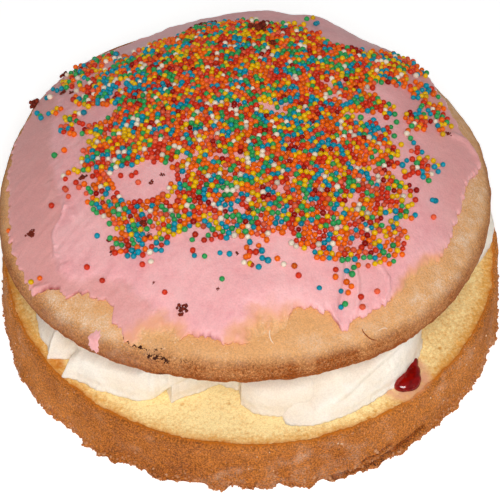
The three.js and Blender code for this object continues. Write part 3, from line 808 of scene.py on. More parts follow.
class Nodes:
    """The nodes of one tree, and the coordinates that its patterns run over. add gives back a new
    node, and the other methods give back the socket that theirs puts out."""

    def __init__(self, tree, vector):
        self.tree = tree
        self.vector = vector

    def add(self, kind, values=None, **settings):
        """A new node with its settings, and its inputs set to values or joined to sockets."""
        made = self.tree.nodes.new(kind)
        for key, value in settings.items():
            setattr(made, key, value)
        for key, value in (values or {}).items():
            if isinstance(value, bpy.types.NodeSocket):
                self.tree.links.new(value, made.inputs[key])
            else:
                made.inputs[key].default_value = value
        return made

    def blend(self, factor, first, second, how="MIX"):
        """One colour turned into another by a factor from 0 to 1."""
        values = {0: factor, 6: first, 7: second}
        return self.add("ShaderNodeMix", values, data_type="RGBA", blend_type=how).outputs[2]

    def tinted(self, factor, base, name):
        """A base colour turned into one of the cake's colours."""
        return self.blend(factor, base, colour_of(name))

    def maths(self, operation, first, second, third=0.0, clamp=False):
        """A sum, product or the like, cut off at 0 and 1 if it is clamped."""
        values = {0: first, 1: second, 2: third}
        return self.add("ShaderNodeMath", values, operation=operation, use_clamp=clamp).outputs[0]

    def plus(self, first, second, clamp=False):
        """The sum of two values."""
        return self.maths("ADD", first, second, clamp=clamp)

    def times(self, first, second, clamp=False):
        """The product of two values."""
        return self.maths("MULTIPLY", first, second, clamp=clamp)

    def scaled(self, value, factor, offset, clamp=False):
        """A value times a factor, plus an offset."""
        return self.maths("MULTIPLY_ADD", value, factor, offset, clamp)

    def swing(self, value, width):
        """A value from 0 to 1 as one that swings about 0, over a width."""
        return self.scaled(value, width, -width / 2)

    def spread(self, value, low, high, to_low=0.0, to_high=1.0):
        """Stretches a value so that low and high become to_low and to_high, and cuts it off."""
        values = {"Value": value, "From Min": low, "From Max": high, "To Min": to_low, "To Max": to_high}
        return self.add("ShaderNodeMapRange", values, interpolation_type="SMOOTHSTEP").outputs[0]

    def clouds(self, size, detail=2.0, rough_share=0.55):
        """Noise from 0 to 1 whose blots are about this many millimetres wide."""
        values = {"Vector": self.vector, "Scale": BLOT_SHARE / (size * MM), "Detail": detail,
                  "Roughness": rough_share}
        return self.add("ShaderNodeTexNoise", values).outputs["Fac"]

    def cells(self, per_metre):
        """The distance from the middles of scattered cells, in widths of a cell."""
        values = {"Vector": self.vector, "Scale": per_metre, "Randomness": 1.0}
        return self.add("ShaderNodeTexVoronoi", values).outputs["Distance"]

    def grained(self, base, least, most):
        """A colour multiplied by tiny grains of light and shade, between least and most."""
        grains = self.spread(self.clouds(0.42, 1), 0.32, 0.68, least, most)
        return self.blend(1.0, base, grains, "MULTIPLY")

    def stored(self, name):
        """The numbers that the piece's mesh keeps under a name."""
        return self.add("ShaderNodeAttribute", attribute_name=name).outputs["Fac"]


def new_group(name, colours, numbers):
    """A shader node group that takes a vector, colours and numbers, which are given with their
    defaults, and puts out Colour and Height. Gives back its inputs and its nodes."""
    tree = bpy.data.node_groups.new(name, "ShaderNodeTree")
    face = tree.interface
    face.new_socket(name="Vector", in_out="INPUT", socket_type="NodeSocketVector")
    for label, default in colours.items():
        socket = face.new_socket(name=label, in_out="INPUT", socket_type="NodeSocketColor")
        socket.default_value = (*default, 1.0)
    for label, default in numbers.items():
        socket = face.new_socket(name=label, in_out="INPUT", socket_type="NodeSocketFloat")
        socket.default_value = default
    face.new_socket(name="Colour", in_out="OUTPUT", socket_type="NodeSocketColor")
    face.new_socket(name="Height", in_out="OUTPUT", socket_type="NodeSocketFloat")
    inputs = tree.nodes.new("NodeGroupInput").outputs
    return inputs, Nodes(tree, inputs["Vector"])


def crust_group():
    """Baked crust: mottled between a light and a dark bake, dusted with flour, with fine grain.

    Bake moves it from light to dark, Flour whitens it in grains, Char blackens it, and Grain says
    how far its finest grain strays from the colour.
    """
    if "Baked crust" in bpy.data.node_groups:
        return bpy.data.node_groups["Baked crust"]
    given, nodes = new_group(
        "Baked crust",
        {"Light": (0.7, 0.4, 0.15), "Dark": (0.4, 0.15, 0.04), "Dust": (0.8, 0.6, 0.4),
         "Burnt": (0.05, 0.02, 0.01)},
        {"Bake": 0.5, "Flour": 0.0, "Char": 0.0, "Grain": 0.1},
    )
    middling = nodes.clouds(3.2, 3)
    fine = nodes.clouds(0.8, 3, 0.6)
    grain = nodes.clouds(0.36, 1)
    mottle = nodes.plus(nodes.swing(nodes.clouds(14, 3), 0.5), nodes.swing(middling, 0.7))
    mottle = nodes.plus(mottle, nodes.swing(fine, 1.2))
    mottle = nodes.plus(mottle, nodes.swing(grain, 2.2))
    contrast = nodes.scaled(given["Bake"], 0.3, 0.22)
    bake = nodes.scaled(mottle, contrast, given["Bake"], clamp=True)
    base = nodes.blend(bake, given["Light"], given["Dark"])
    stray = nodes.scaled(given["Bake"], 0.26, given["Grain"])
    base = nodes.grained(base, nodes.maths("SUBTRACT", 1.0, stray), nodes.plus(1.0, stray))

    # Flour: in specks where the crust is pale, and as a dusting in its grain
    speck = nodes.times(nodes.spread(nodes.cells(600.0), 0.24, 0.14),
                        nodes.spread(nodes.clouds(5, 2), 0.4, 0.62, 0.06, 0.45))
    unbaked = nodes.spread(given["Bake"], 0.1, 0.6, 1.0, 0.25)
    base = nodes.blend(nodes.times(speck, unbaked), base, given["Dust"])
    flour = nodes.scaled(unbaked, 0.07, given["Flour"])
    dusting = nodes.plus(nodes.times(nodes.spread(grain, 0.45, 0.68), 0.6),
                         nodes.times(nodes.spread(middling, 0.35, 0.75), 0.55))
    base = nodes.blend(nodes.times(flour, dusting, clamp=True), base, given["Dust"])

    soot = nodes.scaled(given["Char"], 0.55, nodes.times(fine, 0.5))
    burnt = nodes.spread(nodes.scaled(grain, 0.5, soot), 0.77, 0.85)
    base = nodes.blend(nodes.times(burnt, nodes.spread(given["Char"], 0.02, 0.3)), base, given["Burnt"])
    height = nodes.plus(nodes.times(fine, 0.65), nodes.times(grain, 0.35))
    nodes.add("NodeGroupOutput", {"Colour": base, "Height": height})
    return nodes.tree


def crumb_group():
    """Cut crumb: pale sponge with darker pores of two sizes, deeper in colour where Depth is 1."""
    if "Cut crumb" in bpy.data.node_groups:
        return bpy.data.node_groups["Cut crumb"]
    given, nodes = new_group(
        "Cut crumb", {"Pale": (0.9, 0.7, 0.35), "Deep": (0.7, 0.4, 0.1)}, {"Depth": 0.0},
    )
    fine = nodes.clouds(0.8, 2)
    pore = nodes.spread(nodes.cells(560.0), 0.3, 0.1)
    hole = nodes.times(nodes.spread(nodes.cells(190.0), 0.22, 0.1),
                       nodes.spread(nodes.clouds(8), 0.45, 0.6))
    sunk = nodes.maths("MAXIMUM", nodes.times(pore, 0.14), nodes.times(hole, 0.4))
    shift = nodes.plus(nodes.scaled(nodes.clouds(9, 3), 0.6, -0.28), nodes.swing(fine, 1.7))
    depth = nodes.plus(nodes.plus(given["Depth"], shift), sunk, clamp=True)
    base = nodes.grained(nodes.blend(depth, given["Pale"], given["Deep"]), 0.9, 1.06)
    height = nodes.maths("SUBTRACT", nodes.times(fine, 0.35), sunk)
    nodes.add("NodeGroupOutput", {"Colour": base, "Height": height})
    return nodes.tree


def new_material(name, **constants):
    """A material whose one shader has its constants set, and the nodes that colour it."""
    material = bpy.data.materials.new(name)
    material.use_nodes = True
    tree = material.node_tree
    for key, value in constants.items():
        label = key.replace("_", " ").title().replace("Ior", "IOR")
        tree.nodes["Principled BSDF"].inputs[label].default_value = value
    return material, Nodes(tree, tree.nodes.new("ShaderNodeTexCoord").outputs["Object"])


def finished(material, nodes, base, height, strength, depth):
    """The material with a colour joined to its shader, and a height joined to the shader's
    normal through a Bump node. Depth is in millimetres."""
    inputs = nodes.tree.nodes["Principled BSDF"].inputs
    values = {"Height": height, "Strength": strength, "Distance": depth * MM}
    nodes.tree.links.new(base, inputs["Base Color"])
    nodes.tree.links.new(nodes.add("ShaderNodeBump", values).outputs["Normal"], inputs["Normal"])
    return material


def placed_crust(nodes, light, dark, grain, bake, flour, char):
    """The crust group among a material's nodes, with its colours from the cake's settings."""
    values = {
        "Vector": nodes.vector, "Light": colour_of(light), "Dark": colour_of(dark), "Grain": grain,
        "Dust": colour_of("flour"), "Burnt": colour_of("char"), "Bake": bake, "Flour": flour, "Char": char,
    }
    return nodes.add("ShaderNodeGroup", values, node_tree=crust_group()).outputs


def sponge_material(name, light, dark, grain):
    """Crust and cut crumb in one finish: the mesh's crumb value says which, rim browns the line
    between them, and stain is jam soaked into the crumb."""
    material, nodes = new_material(name, roughness=0.9, specular_ior_level=0.1)
    baked = [nodes.stored(key) for key in ("bake", "flour", "char")]
    crust = placed_crust(nodes, light, dark, grain, *baked)
    values = {"Vector": nodes.vector, "Pale": colour_of("crumb"), "Deep": colour_of("crumb_deep"),
              "Depth": nodes.stored("depth")}
    crumb = nodes.add("ShaderNodeGroup", values, node_tree=crumb_group()).outputs
    ragged = nodes.plus(nodes.stored("crumb"), nodes.swing(nodes.clouds(1.1, 3), 0.9))
    is_crumb = nodes.spread(ragged, 0.35, 0.65)
    base = nodes.blend(is_crumb, crust["Colour"], crumb["Colour"])
    # Each soaks in unevenly: name, size of the blots, where they are full, and the least
    for key, size, full, least in (("rim", 2.5, 0.6, 0.45), ("stain", 2.2, 0.65, 0.5)):
        uneven = nodes.spread(nodes.clouds(size, 3), 0.3, full, least, 1.0)
        base = nodes.tinted(nodes.times(nodes.stored(key), uneven), base, key)
    height = nodes.add("ShaderNodeMix", {0: is_crumb, 2: crust["Height"], 3: crumb["Height"]})
    return finished(material, nodes, base, height.outputs[0], 1.0, 0.6)


def icing_material():
    """Soft pink icing, mottled and brushed, that turns peach and then lets the crust through
    where it has worn thin."""
    material, nodes = new_material(
        "icing", roughness=0.5, specular_ior_level=0.35, subsurface_weight=0.18, subsurface_scale=0.002,
        subsurface_radius=(1.0, 0.45, 0.4),
    )
    fine = nodes.clouds(1.4, 3, 0.6)
    broad = nodes.scaled(nodes.clouds(13, 3), 1.3, -0.4)
    mottle = nodes.plus(broad, nodes.swing(fine, 1.4), clamp=True)
    pink = nodes.tinted(mottle, colour_of("icing"), "icing_deep")
    pink = nodes.tinted(nodes.stored("pale"), pink, "icing_pale")
    pink = nodes.tinted(nodes.times(nodes.stored("single"), 0.8), pink, "icing_single")
    pink = nodes.grained(pink, 0.96, 1.035)
    pink = nodes.tinted(nodes.spread(nodes.clouds(0.9, 2), 0.66, 0.78, 0.0, 0.3), pink, "icing_speck")
    # Dark red at the icing's lips: partly jam stain, partly painted shadow under the lips
    pink = nodes.tinted(nodes.stored("lip_stain_and_shadow"), pink, "icing_lip_stain_and_shadow")
    crust = placed_crust(nodes, "crust_light", "crust_dark", 0.1, 0.02, 0.0, 0.0)
    worn = nodes.plus(nodes.stored("worn"), nodes.swing(nodes.clouds(3.0, 4), 0.4))
    peach = nodes.tinted(nodes.spread(worn, 0.05, 0.55), pink, "icing_thin")
    base = nodes.blend(nodes.spread(worn, 0.45, 0.8), peach, crust["Colour"])
    height = nodes.plus(nodes.times(fine, 0.6), nodes.times(nodes.clouds(0.5), 0.4))
    return finished(material, nodes, base, height, 0.6, 0.35)


def cream_material():
    """Whipped cream: off-white, a little see-through, faintly grained, and greyed in its hollows by
    painted shade.
    """
    material, nodes = new_material(
        "cream", roughness=0.6, specular_ior_level=0.15, subsurface_weight=0.12, subsurface_scale=0.003,
        subsurface_radius=(1.0, 0.75, 0.5),
    )
    broad = nodes.spread(nodes.clouds(8, 3), 0.3, 0.7)
    base = nodes.tinted(broad, colour_of("cream"), "cream_deep")
    # Painted shade: the cream is greyed where the swirls stand back in their folds
    base = nodes.tinted(nodes.stored("painted_shade"), base, "cream_painted_shade")
    base = nodes.grained(base, 0.945, 1.03)
    return finished(material, nodes, base, nodes.clouds(0.9, 3, 0.6), 0.4, 0.3)


def jam_material():
    """Raspberry jam: deep red and glossy, darker in its thick parts, with faint seeds under it."""
    material, nodes = new_material(
        "jam", roughness=0.12, specular_ior_level=0.3, subsurface_weight=0.05, subsurface_scale=0.002,
        subsurface_radius=(1.0, 0.1, 0.05), coat_weight=0.25, coat_roughness=0.05,
    )
    clots = nodes.spread(nodes.clouds(2.2, 3), 0.35, 0.7)
    base = nodes.tinted(clots, colour_of("jam"), "jam_deep")
    base = nodes.tinted(nodes.spread(nodes.cells(420.0), 0.2, 0.1, 0.0, 0.35), base, "jam_seed")
    return finished(material, nodes, base, nodes.clouds(2.0, 2), 0.25, 0.4)


def sugar_material(colour):
    """Coloured sugar: each ball a little lighter or darker, with a faint chalky bloom."""
    material, nodes = new_material("sugar_" + colour, roughness=0.3, specular_ior_level=0.16)
    base = nodes.blend(nodes.stored("shade"), colour_of(colour), (0.0, 0.0, 0.0, 1.0))
    base = nodes.tinted(nodes.spread(nodes.clouds(0.9, 2), 0.5, 0.8, 0.0, 0.05), base, "bloom")
    return finished(material, nodes, base, nodes.clouds(0.5), 0.2, 0.1)


def crumb_material(name, light, dark):
    """Loose crumbs, each of its own shade between two colours."""
    material, nodes = new_material(name, roughness=0.85, specular_ior_level=0.2)
    shade = nodes.plus(nodes.stored("shade"), nodes.swing(nodes.clouds(0.7), 0.8), clamp=True)
    base = nodes.tinted(shade, colour_of(light), dark)
    return finished(material, nodes, base, nodes.clouds(0.5), 0.6, 0.3)


# ---- Settings ----


def colour_setting(name, description, red, green, blue):
    """A colour that can be changed, from its display values, 0 to 255."""
    return bpy.props.FloatVectorProperty(
        name=name, description=description, default=linear(red, green, blue), subtype="COLOR",
        min=0, max=1, size=3,
    )


def length_setting(name, description, default):
    """A length that can be changed, from its millimetres."""
    return bpy.props.FloatProperty(
        name=name, description=description, default=default * MM, min=0, subtype="DISTANCE", unit="LENGTH",
    )


class CakeSizes(bpy.types.PropertyGroup):
    """Sizes that can be changed before the cake is made."""

    sprinkle: length_setting("Sprinkle", "How wide a sprinkle is", SPRINKLE_DIAMETER)
    crumb: length_setting("Crumb", "How wide a loose crumb is", 0.8)
    crust_relief: length_setting("Crust relief", "How deep the dents in the crust are", 0.35)
    foot_relief: length_setting("Foot relief", "How ragged the lowest edge is", 1.5)
    cream_relief: length_setting("Cream relief", "How uneven the cream is", 0.3)


class CakeColours(bpy.types.PropertyGroup):
    """Colours of the cake's finishes."""

    icing: colour_setting("Icing", "Icing where it lies thickly", 241, 177, 178)
    icing_deep: colour_setting("Icing, deep", "Mottling in the icing", 226, 150, 155)
    icing_single: colour_setting("Icing, single", "Icing where there is one coat alone", 222, 155, 150)
    icing_speck: colour_setting("Icing, specks", "Specks in the icing", 214, 124, 132)
    # Dark red of the icing's lips: partly jam stain, partly painted shadow under the lips
    icing_lip_stain_and_shadow: colour_setting("Icing, stained", "Lips of the icing that jam has reddened", 150, 62, 60)
    icing_pale: colour_setting("Icing, pale", "Icing that has dried pale", 245, 190, 189)
    icing_thin: colour_setting("Icing, thin", "Icing that the sponge shows through", 229, 160, 126)
    crust_light: colour_setting("Crust, light", "The pale shoulder of the upper layer", 222, 163, 106)
    crust_dark: colour_setting("Crust, dark", "The browned side of the upper layer", 134, 62, 4)
    side_light: colour_setting("Side, light", "The lighter bake of the lower side", 202, 124, 52)
    side_dark: colour_setting("Side, dark", "The darker bake of the lower side", 126, 60, 14)
    flour: colour_setting("Flour", "Flour left on the crust", 240, 212, 184)
    char: colour_setting("Char", "Burnt specks", 60, 30, 22)
    crumb: colour_setting("Crumb", "The cut face of the sponge", 255, 231, 168)
    crumb_deep: colour_setting("Crumb, deep", "Pores in the cut face", 226, 166, 84)
    rim: colour_setting("Rim", "The browned line round the cut face", 200, 112, 24)
    stain: colour_setting("Stain", "Jam soaked into the crumb", 225, 165, 130)
    cream: colour_setting("Cream", "Whipped cream", 246, 238, 225)
    cream_deep: colour_setting("Cream, deep", "Denser whipped cream", 241, 228, 210)
    # Painted shade: the grey of the cream where it stands back in its folds
    cream_painted_shade: colour_setting("Cream, hollow", "Cream deep in the folds", 230, 211, 186)
    jam: colour_setting("Jam", "Raspberry jam", 142, 8, 6)
    jam_deep: colour_setting("Jam, deep", "Thick raspberry jam", 104, 4, 6)
    jam_seed: colour_setting("Jam seed", "Seeds in the jam", 170, 60, 30)
    orange: colour_setting("Orange", "Orange sprinkles", 238, 102, 8)
    yellow: colour_setting("Yellow", "Yellow sprinkles", 230, 180, 0)
    red: colour_setting("Red", "Red sprinkles", 208, 50, 22)
    crimson: colour_setting("Crimson", "Dark red sprinkles", 150, 16, 8)
    salmon: colour_setting("Salmon", "Salmon sprinkles", 226, 92, 58)
    blue: colour_setting("Blue", "Blue sprinkles", 0, 142, 166)
    green: colour_setting("Green", "Green sprinkles", 48, 158, 84)
    white: colour_setting("White", "White sprinkles", 232, 216, 194)
    bloom: colour_setting("Bloom", "Sugar dust on the sprinkles", 250, 225, 205)
    dark_crumb: colour_setting("Dark crumb", "Overbaked crumbs", 132, 44, 24)
    dark_crumb_deep: colour_setting("Dark crumb, deep", "The darkest crumbs", 92, 26, 14)
    pale_crumb: colour_setting("Pale crumb", "Crumbs from inside the sponge", 232, 204, 168)
    pale_crumb_deep: colour_setting("Pale crumb, deep", "Crumbs from the crust", 178, 108, 56)
    floor: colour_setting("Floor", "The floor under the cake", 254, 254, 254)


def size_of(name):
    """One of the cake's sizes, in millimetres."""
    return getattr(bpy.context.scene.cake_sizes, name) / MM


# ---- Pieces ----


class CAKE_OT_stage(bpy.types.Operator):
    """Make the pale floor, the soft lights and the camera"""

    bl_idname = "cake.stage"
    bl_label = "Stage"

    TARGET = np.array([-0.3, -9.7, 30.0])
    ELEVATION = 48.5
    DISTANCE = 632
    # The focal length, in widths of the frame
    FOCAL_WIDTHS = 3.234
    SENSOR_WIDTH = 36
    SIGHT_END = 20
    FLOOR_HALF = 3.0
    FLOOR_GLOW = 0.42
    FLOOR_SHADE = (0.98, 0.98, 0.98, 1)
    SKY_COLOUR = (1, 0.98, 0.96, 1)
    SKY_STRENGTH = 0.19
    # Lights: elevation and azimuth in degrees, distance, width, watts. Azimuth 0 is in front.
    LIGHTS = {
        "key": (50, 2, 1100, 450, 9.2),
        "left": (38, -62, 1300, 900, 0.45),
        "right": (38, 62, 1300, 900, 0.45),
    }

    def placed(self, data, elevation, azimuth, distance):
        """Puts a light or camera at a direction and distance from the cake, looking at it."""
        item = add_object(data.name, data)
        elevation, azimuth = math.radians(elevation), math.radians(azimuth)
        back = np.array([
            math.cos(elevation) * math.sin(azimuth), -math.cos(elevation) * math.cos(azimuth),
            math.sin(elevation),
        ])
        right = np.array([math.cos(azimuth), math.sin(azimuth), 0])
        place = (self.TARGET + back * distance) * MM
        columns = np.column_stack([right, np.cross(back, right), back, place])
        item.matrix_world = Matrix([*columns.tolist(), [0, 0, 0, 1]])
        return item

    def execute(self, context):
        """The floor is one wide quadrilateral; lights and camera look at the cake's middle."""
        scene = context.scene
        material, nodes = new_material(
            "floor", roughness=0.9, specular_ior_level=0.1, emission_strength=self.FLOOR_GLOW,
        )
        tint = nodes.blend(nodes.clouds(300, 2), colour_of("floor"), self.FLOOR_SHADE)
        for socket in ("Base Color", "Emission Color"):
            nodes.tree.links.new(tint, nodes.tree.nodes["Principled BSDF"].inputs[socket])
        half = self.FLOOR_HALF
        mesh = bpy.data.meshes.new("floor")
        corners = [(-half, -half, 0), (half, -half, 0), (half, half, 0), (-half, half, 0)]
        mesh.from_pydata(corners, [], [(0, 1, 2, 3)])
        mesh.materials.append(material)
        add_object("floor", mesh)

        for name, (elevation, azimuth, distance, width, watts) in self.LIGHTS.items():
            light = bpy.data.lights.new(name, "AREA")
            light.shape = "DISK"
            light.size = width * MM
            light.energy = watts
            self.placed(light, elevation, azimuth, distance)
        world = bpy.data.worlds.new("studio")
        world.use_nodes = True
        background = world.node_tree.nodes["Background"]
        background.inputs["Color"].default_value = self.SKY_COLOUR
        background.inputs["Strength"].default_value = self.SKY_STRENGTH
        scene.world = world

        camera = bpy.data.cameras.new("camera")
        camera.sensor_width = self.SENSOR_WIDTH
        camera.lens = camera.sensor_width * self.FOCAL_WIDTHS
        camera.clip_end = self.SIGHT_END
        scene.camera = self.placed(camera, self.ELEVATION, 0, self.DISTANCE)
        scene.view_settings.view_transform = "Standard"
        return {"FINISHED"}


class CAKE_OT_lower_sponge(bpy.types.Operator):
    """Make the lower layer: a rough baked side under a cut, pale face"""

    bl_idname = "cake.lower_sponge"
    bl_label = "Lower Sponge"

    # Scorched spots of the side: degrees, height, half turn, half height, strength
    SCORCHES = [(-64, 2.6, 8, 1.0, 0.55), (-171, 14, 5, 8, 0.4), (-158, 16, 4, 5, 0.32),
                (30, 5, 12, 3, 0.5), (110, 4, 16, 3, 0.6)]
    SCORCH_SLANT = 0.12
    # Where the cut face is browned like its rim
    BROWNED_CORNER = (-72.5, -61.5)
    FRONT = -90

    def execute(self, context):
        """The skin's points with values for its finish: where it is cut crumb, how brown the line
        round the crumb is, and how baked, floury, scorched and soaked with jam it is."""
        rings, radii, heights, angle, on_side, groove = lower_skin()
        x, y = rings[..., 0], rings[..., 1]
        face = (1 - on_side) * (heights > 1)

        edge = CRUMB_RADIUS + 0.5 + 0.5 * rough(rings * (1, 1, 0), 7, 21)
        crumb = face * eased(edge - radii, -0.4, 0.8)
        beyond = radii - edge - 0.1
        rim = 0.9 * bell(beyond, np.where(beyond > 0, 0.45, 1.2)) * (heights > LOWER_HEIGHT - 3)
        from_corner = np.hypot(x - self.BROWNED_CORNER[0], y - self.BROWNED_CORNER[1])
        rim = np.maximum(rim, face * np.exp(-((from_corner / 3.2) ** 4)))

        # The crumb is deeper in colour just inside its rim, and darker away from the front as painted
        # shade
        from_front = np.abs(turn_from(self.FRONT, angle))
        depth = (0.6 * bell(radii - edge + 1.2, 3.2) + 0.34 * eased(from_front, 22, 60)) * face
        bake = 0.5 + 1.1 * groove + 0.2 * rough(rings, 22, 23, 2) + 0.15 * (1 - heights / LOWER_HEIGHT)
        # Painted light: the side is made paler away from the front, against the shading that falls there
        bake = bake - 0.22 * eased(from_front, 18, 55)
        flour = on_side * (0.02 + 0.35 * eased(rough(rings, 14, 25), 0.0, 1.2))
        scorched = spots(angle, heights, self.SCORCHES, self.SCORCH_SLANT) * on_side
        jam_angle = math.radians(JAM_BEAD["angle"])
        jam_x = JAM_BEAD["distance"] * math.cos(jam_angle) + 1
        jam_y = JAM_BEAD["distance"] * math.sin(jam_angle)
        values = {
            "crumb": crumb, "rim": np.clip(rim, 0, 1), "bake": np.clip(bake, 0, 1), "flour": flour,
            "char": np.maximum(0.4 * groove, scorched), "depth": depth,
            "stain": face * (1 - eased(np.hypot(x - jam_x, y - jam_y), 8.5, 12.5)),
        }
        material = sponge_material("lower_sponge", "side_light", "side_dark", 0.3)
        parts = (0, 0, 0), rings, (0, 0, LOWER_HEIGHT)
        finish_skin("lower_sponge", parts, material, values, ["sponge_lower"])
        return {"FINISHED"}


class CAKE_OT_filling(bpy.types.Operator):
    """Make the jam and the piped cream between the two layers"""

    bl_idname = "cake.filling"
    bl_label = "Filling"

    STATIONS = 150
    FACE_STEPS = 72
    END_LENGTH = 1.4

    # Outline of the jam's spread: share of its radius, share of its thickness
    SPREAD_OUTLINE = [(1.0, 0.0), (1.012, 0.3), (1.012, 0.8), (1.0, 1.0), (0.7, 1.0), (0.3, 1.0)]
    SPREAD_MIDDLE = 12
    # Outline of the bead of jam about its middle: degrees and distance
    BEAD_MIDDLE = (56.3, -67.3)
    BEAD_SINK = 0.1
    BEAD_OUTLINE = [(-180, 9), (-132, 6.2), (-112, 7.2), (-90, 7.2), (-50, 7.4), (-20, 6.9), (2, 6.5),
                    (35, 7.4), (55, 9.8), (63, 10.9), (75, 9.5), (120, 9)]
    # Outline of the cream's core: share of its radius, share of its height
    CORE_OUTLINE = [(0.2, 0), (0.6, 0), (0.97, 0), (1.0, 0.1), (1.004, 0.35), (1.004, 0.65), (1.0, 0.9),
                    (0.97, 1), (0.6, 1), (0.2, 1)]

    def jam_spread(self, material):
        """A flat, uneven disc, from the middle of its underside out and back in over its top."""
        angle = columns_around(96)[None]
        shares, levels = np.array(self.SPREAD_OUTLINE).T[..., None]
        radius = JAM_RADIUS * shares + 0.4 * noise(on_plane(9 * angle, 0 * angle), 3, 61)
        radius = np.vstack([0 * angle + self.SPREAD_MIDDLE, radius])
        height = FILLING_BASE + JAM_THICKNESS * np.vstack([[0], levels])
        top = (0, 0, FILLING_BASE + JAM_THICKNESS)
        parts = (0, 0, FILLING_BASE), about_axis(radius, angle, height), top
        finish_skin("jam_spread", parts, material, replaces=["jam_layer"])

    def jam_bead(self, material):
        """A dome over its outline, whose height is a power of one less the square of how far out
        a point lies, with a flat underside."""
        outwards = np.array([0.3, 0.7, 0.93])[:, None]
        inwards = np.append(np.cos(np.linspace(0, math.pi / 2, 22)[:-1]), 0.04)[:, None]
        part = np.concatenate([outwards, inwards])
        angle = columns_around(120)[None]
        reach = around(self.BEAD_OUTLINE, angle) * part
        x = self.BEAD_MIDDLE[0] + reach * np.cos(angle)
        y = self.BEAD_MIDDLE[1] + reach * np.sin(angle)
        crown = np.sqrt(np.maximum(0, 1 - part**2)) ** 0.85 * JAM_BEAD["height"]
        crown = crown * (0.86 + 0.14 * noise(on_plane(x, y), 5, 63))
        crown = crown + 0.12 * rough(on_plane(x, y), 1.8, 64, 2) * (1 - part)
        is_top = np.arange(len(part))[:, None] >= len(outwards)
        foot = LOWER_HEIGHT - self.BEAD_SINK
        rings = np.stack([x, y, foot + np.where(is_top, crown, 0)], -1)
        above = (*self.BEAD_MIDDLE, LOWER_HEIGHT + JAM_BEAD["height"] * 0.86)
        finish_skin("jam_bead", ((*self.BEAD_MIDDLE, foot), rings, above), material)

    def core(self, material):
        """A round, slightly uneven block of cream that fills the middle up to the upper layer."""
        angle = columns_around(120)[None]
        part, level = np.array(self.CORE_OUTLINE).T[..., None]
        x, y = CORE_RADIUS * part * np.cos(angle), CORE_RADIUS * part * np.sin(angle)
        bottom = FILLING_BASE + JAM_THICKNESS + CLEARANCE
        z = bottom + (underside_height(x, y) - CLEARANCE - bottom) * level
        top = (0, 0, underside_height(0.0, 0.0) - CLEARANCE)
        parts = (0, 0, bottom), np.stack([x, y, z], -1), top
        finish_skin("cream_core", parts, material, {"painted_shade": 0 * x}, ["cream_layer"])

    def folded(self, swirl, part, rise):
        """How far the face stands out: in straight stretches from fold to fold, each swelling by
        4t(1-t) times its width, with fine grooves along it as the cosine of three turns. Then
        neighbouring heights are averaged, which rounds the folds off a little."""
        place = part[:, 0]
        heights, stands = [0 * place - 0.01], [0 * place]
        for fold in swirl.get("folds", PLAIN_FOLDS):
            along = np.linspace(0, 1, len(fold[0]))
            for curves, values in zip((heights, stands), fold):
                curves.append(np.interp(place, along, values))
        heights.append(np.maximum(heights[-1] + 0.01, 1.3))
        stands.append(stands[-1] - 1)
        out = 0 * part * rise
        for below, above, first, last in zip(heights, heights[1:], stands, stands[1:]):
            width = np.maximum(above - below, 0.01)[:, None]
            t = (rise - below[:, None]) / width
            swell = swirl.get("swell", SWIRL_SWELL) * np.minimum(2.4 * width, 1) * 4 * t * (1 - t)
            swell = swell + SWIRL_GROOVE * np.cos(6 * math.pi * t) * eased(width, 0.08, 0.2)
            here = (t >= 0) & (t < 1)
            out = np.where(here, first[:, None] + (last - first)[:, None] * t + swell, out)
        for _ in range(2):
            out[:, 1:-1] = (out[:, :-2] + 2 * out[:, 1:-1] + out[:, 2:]) / 4
        return out

    def swirl(self, number, swirl, material):
        """A section carried around the ring. Its face runs from foot to top: the radius draws in
        evenly and stands out by its folds. Both ends are rounded off."""
        degrees, radii = np.array(swirl["foot"], float).T
        start = math.radians(degrees[0] - SWIRL_OVERLAP)
        end = math.radians(degrees[-1] + SWIRL_OVERLAP)
        part = np.linspace(0, 1, self.STATIONS)[:, None]
        angle = start + (end - start) * part
        rise = np.linspace(1, 0, self.FACE_STEPS)[None]
        foot = np.interp(np.degrees(angle), degrees, radii)
        from_end = np.minimum(part, 1 - part) * (end - start) * foot
        tuck = np.sqrt(1 - (1 - np.clip(from_end / self.END_LENGTH, 0, 1)) ** 2)
        stand = self.folded(swirl, part, rise)
        flare = SWIRL_FOOT_FLARE * (1 - eased(rise, 0, 0.07))
        radius = foot - SWIRL_TOP_SETBACK * rise + stand * (0.4 + 0.6 * tuck) + flare
        inner = CORE_RADIUS + CLEARANCE
        radius = inner + (radius - inner) * (0.72 + 0.28 * tuck)

        def under_cake(reach):
            """How high the upper layer's underside is at a distance from the middle."""
            return underside_height(reach * np.cos(angle), reach * np.sin(angle))

        top, bottom = under_cake(foot - SWIRL_TOP_SETBACK) - 0.1, FILLING_BASE - 0.25
        face = about_axis(radius, angle, bottom + (top - bottom) * rise)
        wobble = 0.6 * rough(face, 7, 71 + number, 2) + 0.4 * rough(face, 1.8, 75 + number, 2)
        wobble = wobble + 1.3 * noise(face, 1.6, 79) * eased(0.12 - rise, 0, 0.12)
        face = face + about_axis(wobble * size_of("cream_relief"), angle, 0.0)
        top_in = about_axis(inner, angle, under_cake(inner) - CLEARANCE)
        low_in = about_axis(inner, angle, FILLING_BASE)
        section = np.concatenate([top_in, face, low_in], axis=1)
        # Painted shade: the further the face stands back, the greyer the cream, plus an even grey over
        # some swirls
        painted_shade = 0.5 * eased(-stand, 1.8, 8) * eased(part, 0, swirl.get("clean_start", 0.001))
        painted_shade = painted_shade + swirl.get("painted_shade_all_over", 0)
        painted_shade = np.concatenate([painted_shade[:, :1], painted_shade, painted_shade[:, -1:]], axis=1)
        middle = section.mean(axis=1)
        parts = middle[0], section, middle[-1]
        name = f"cream_swirl_{number:02d}"
        finish_skin("piped_" + name, parts, material, {"painted_shade": painted_shade}, [name])

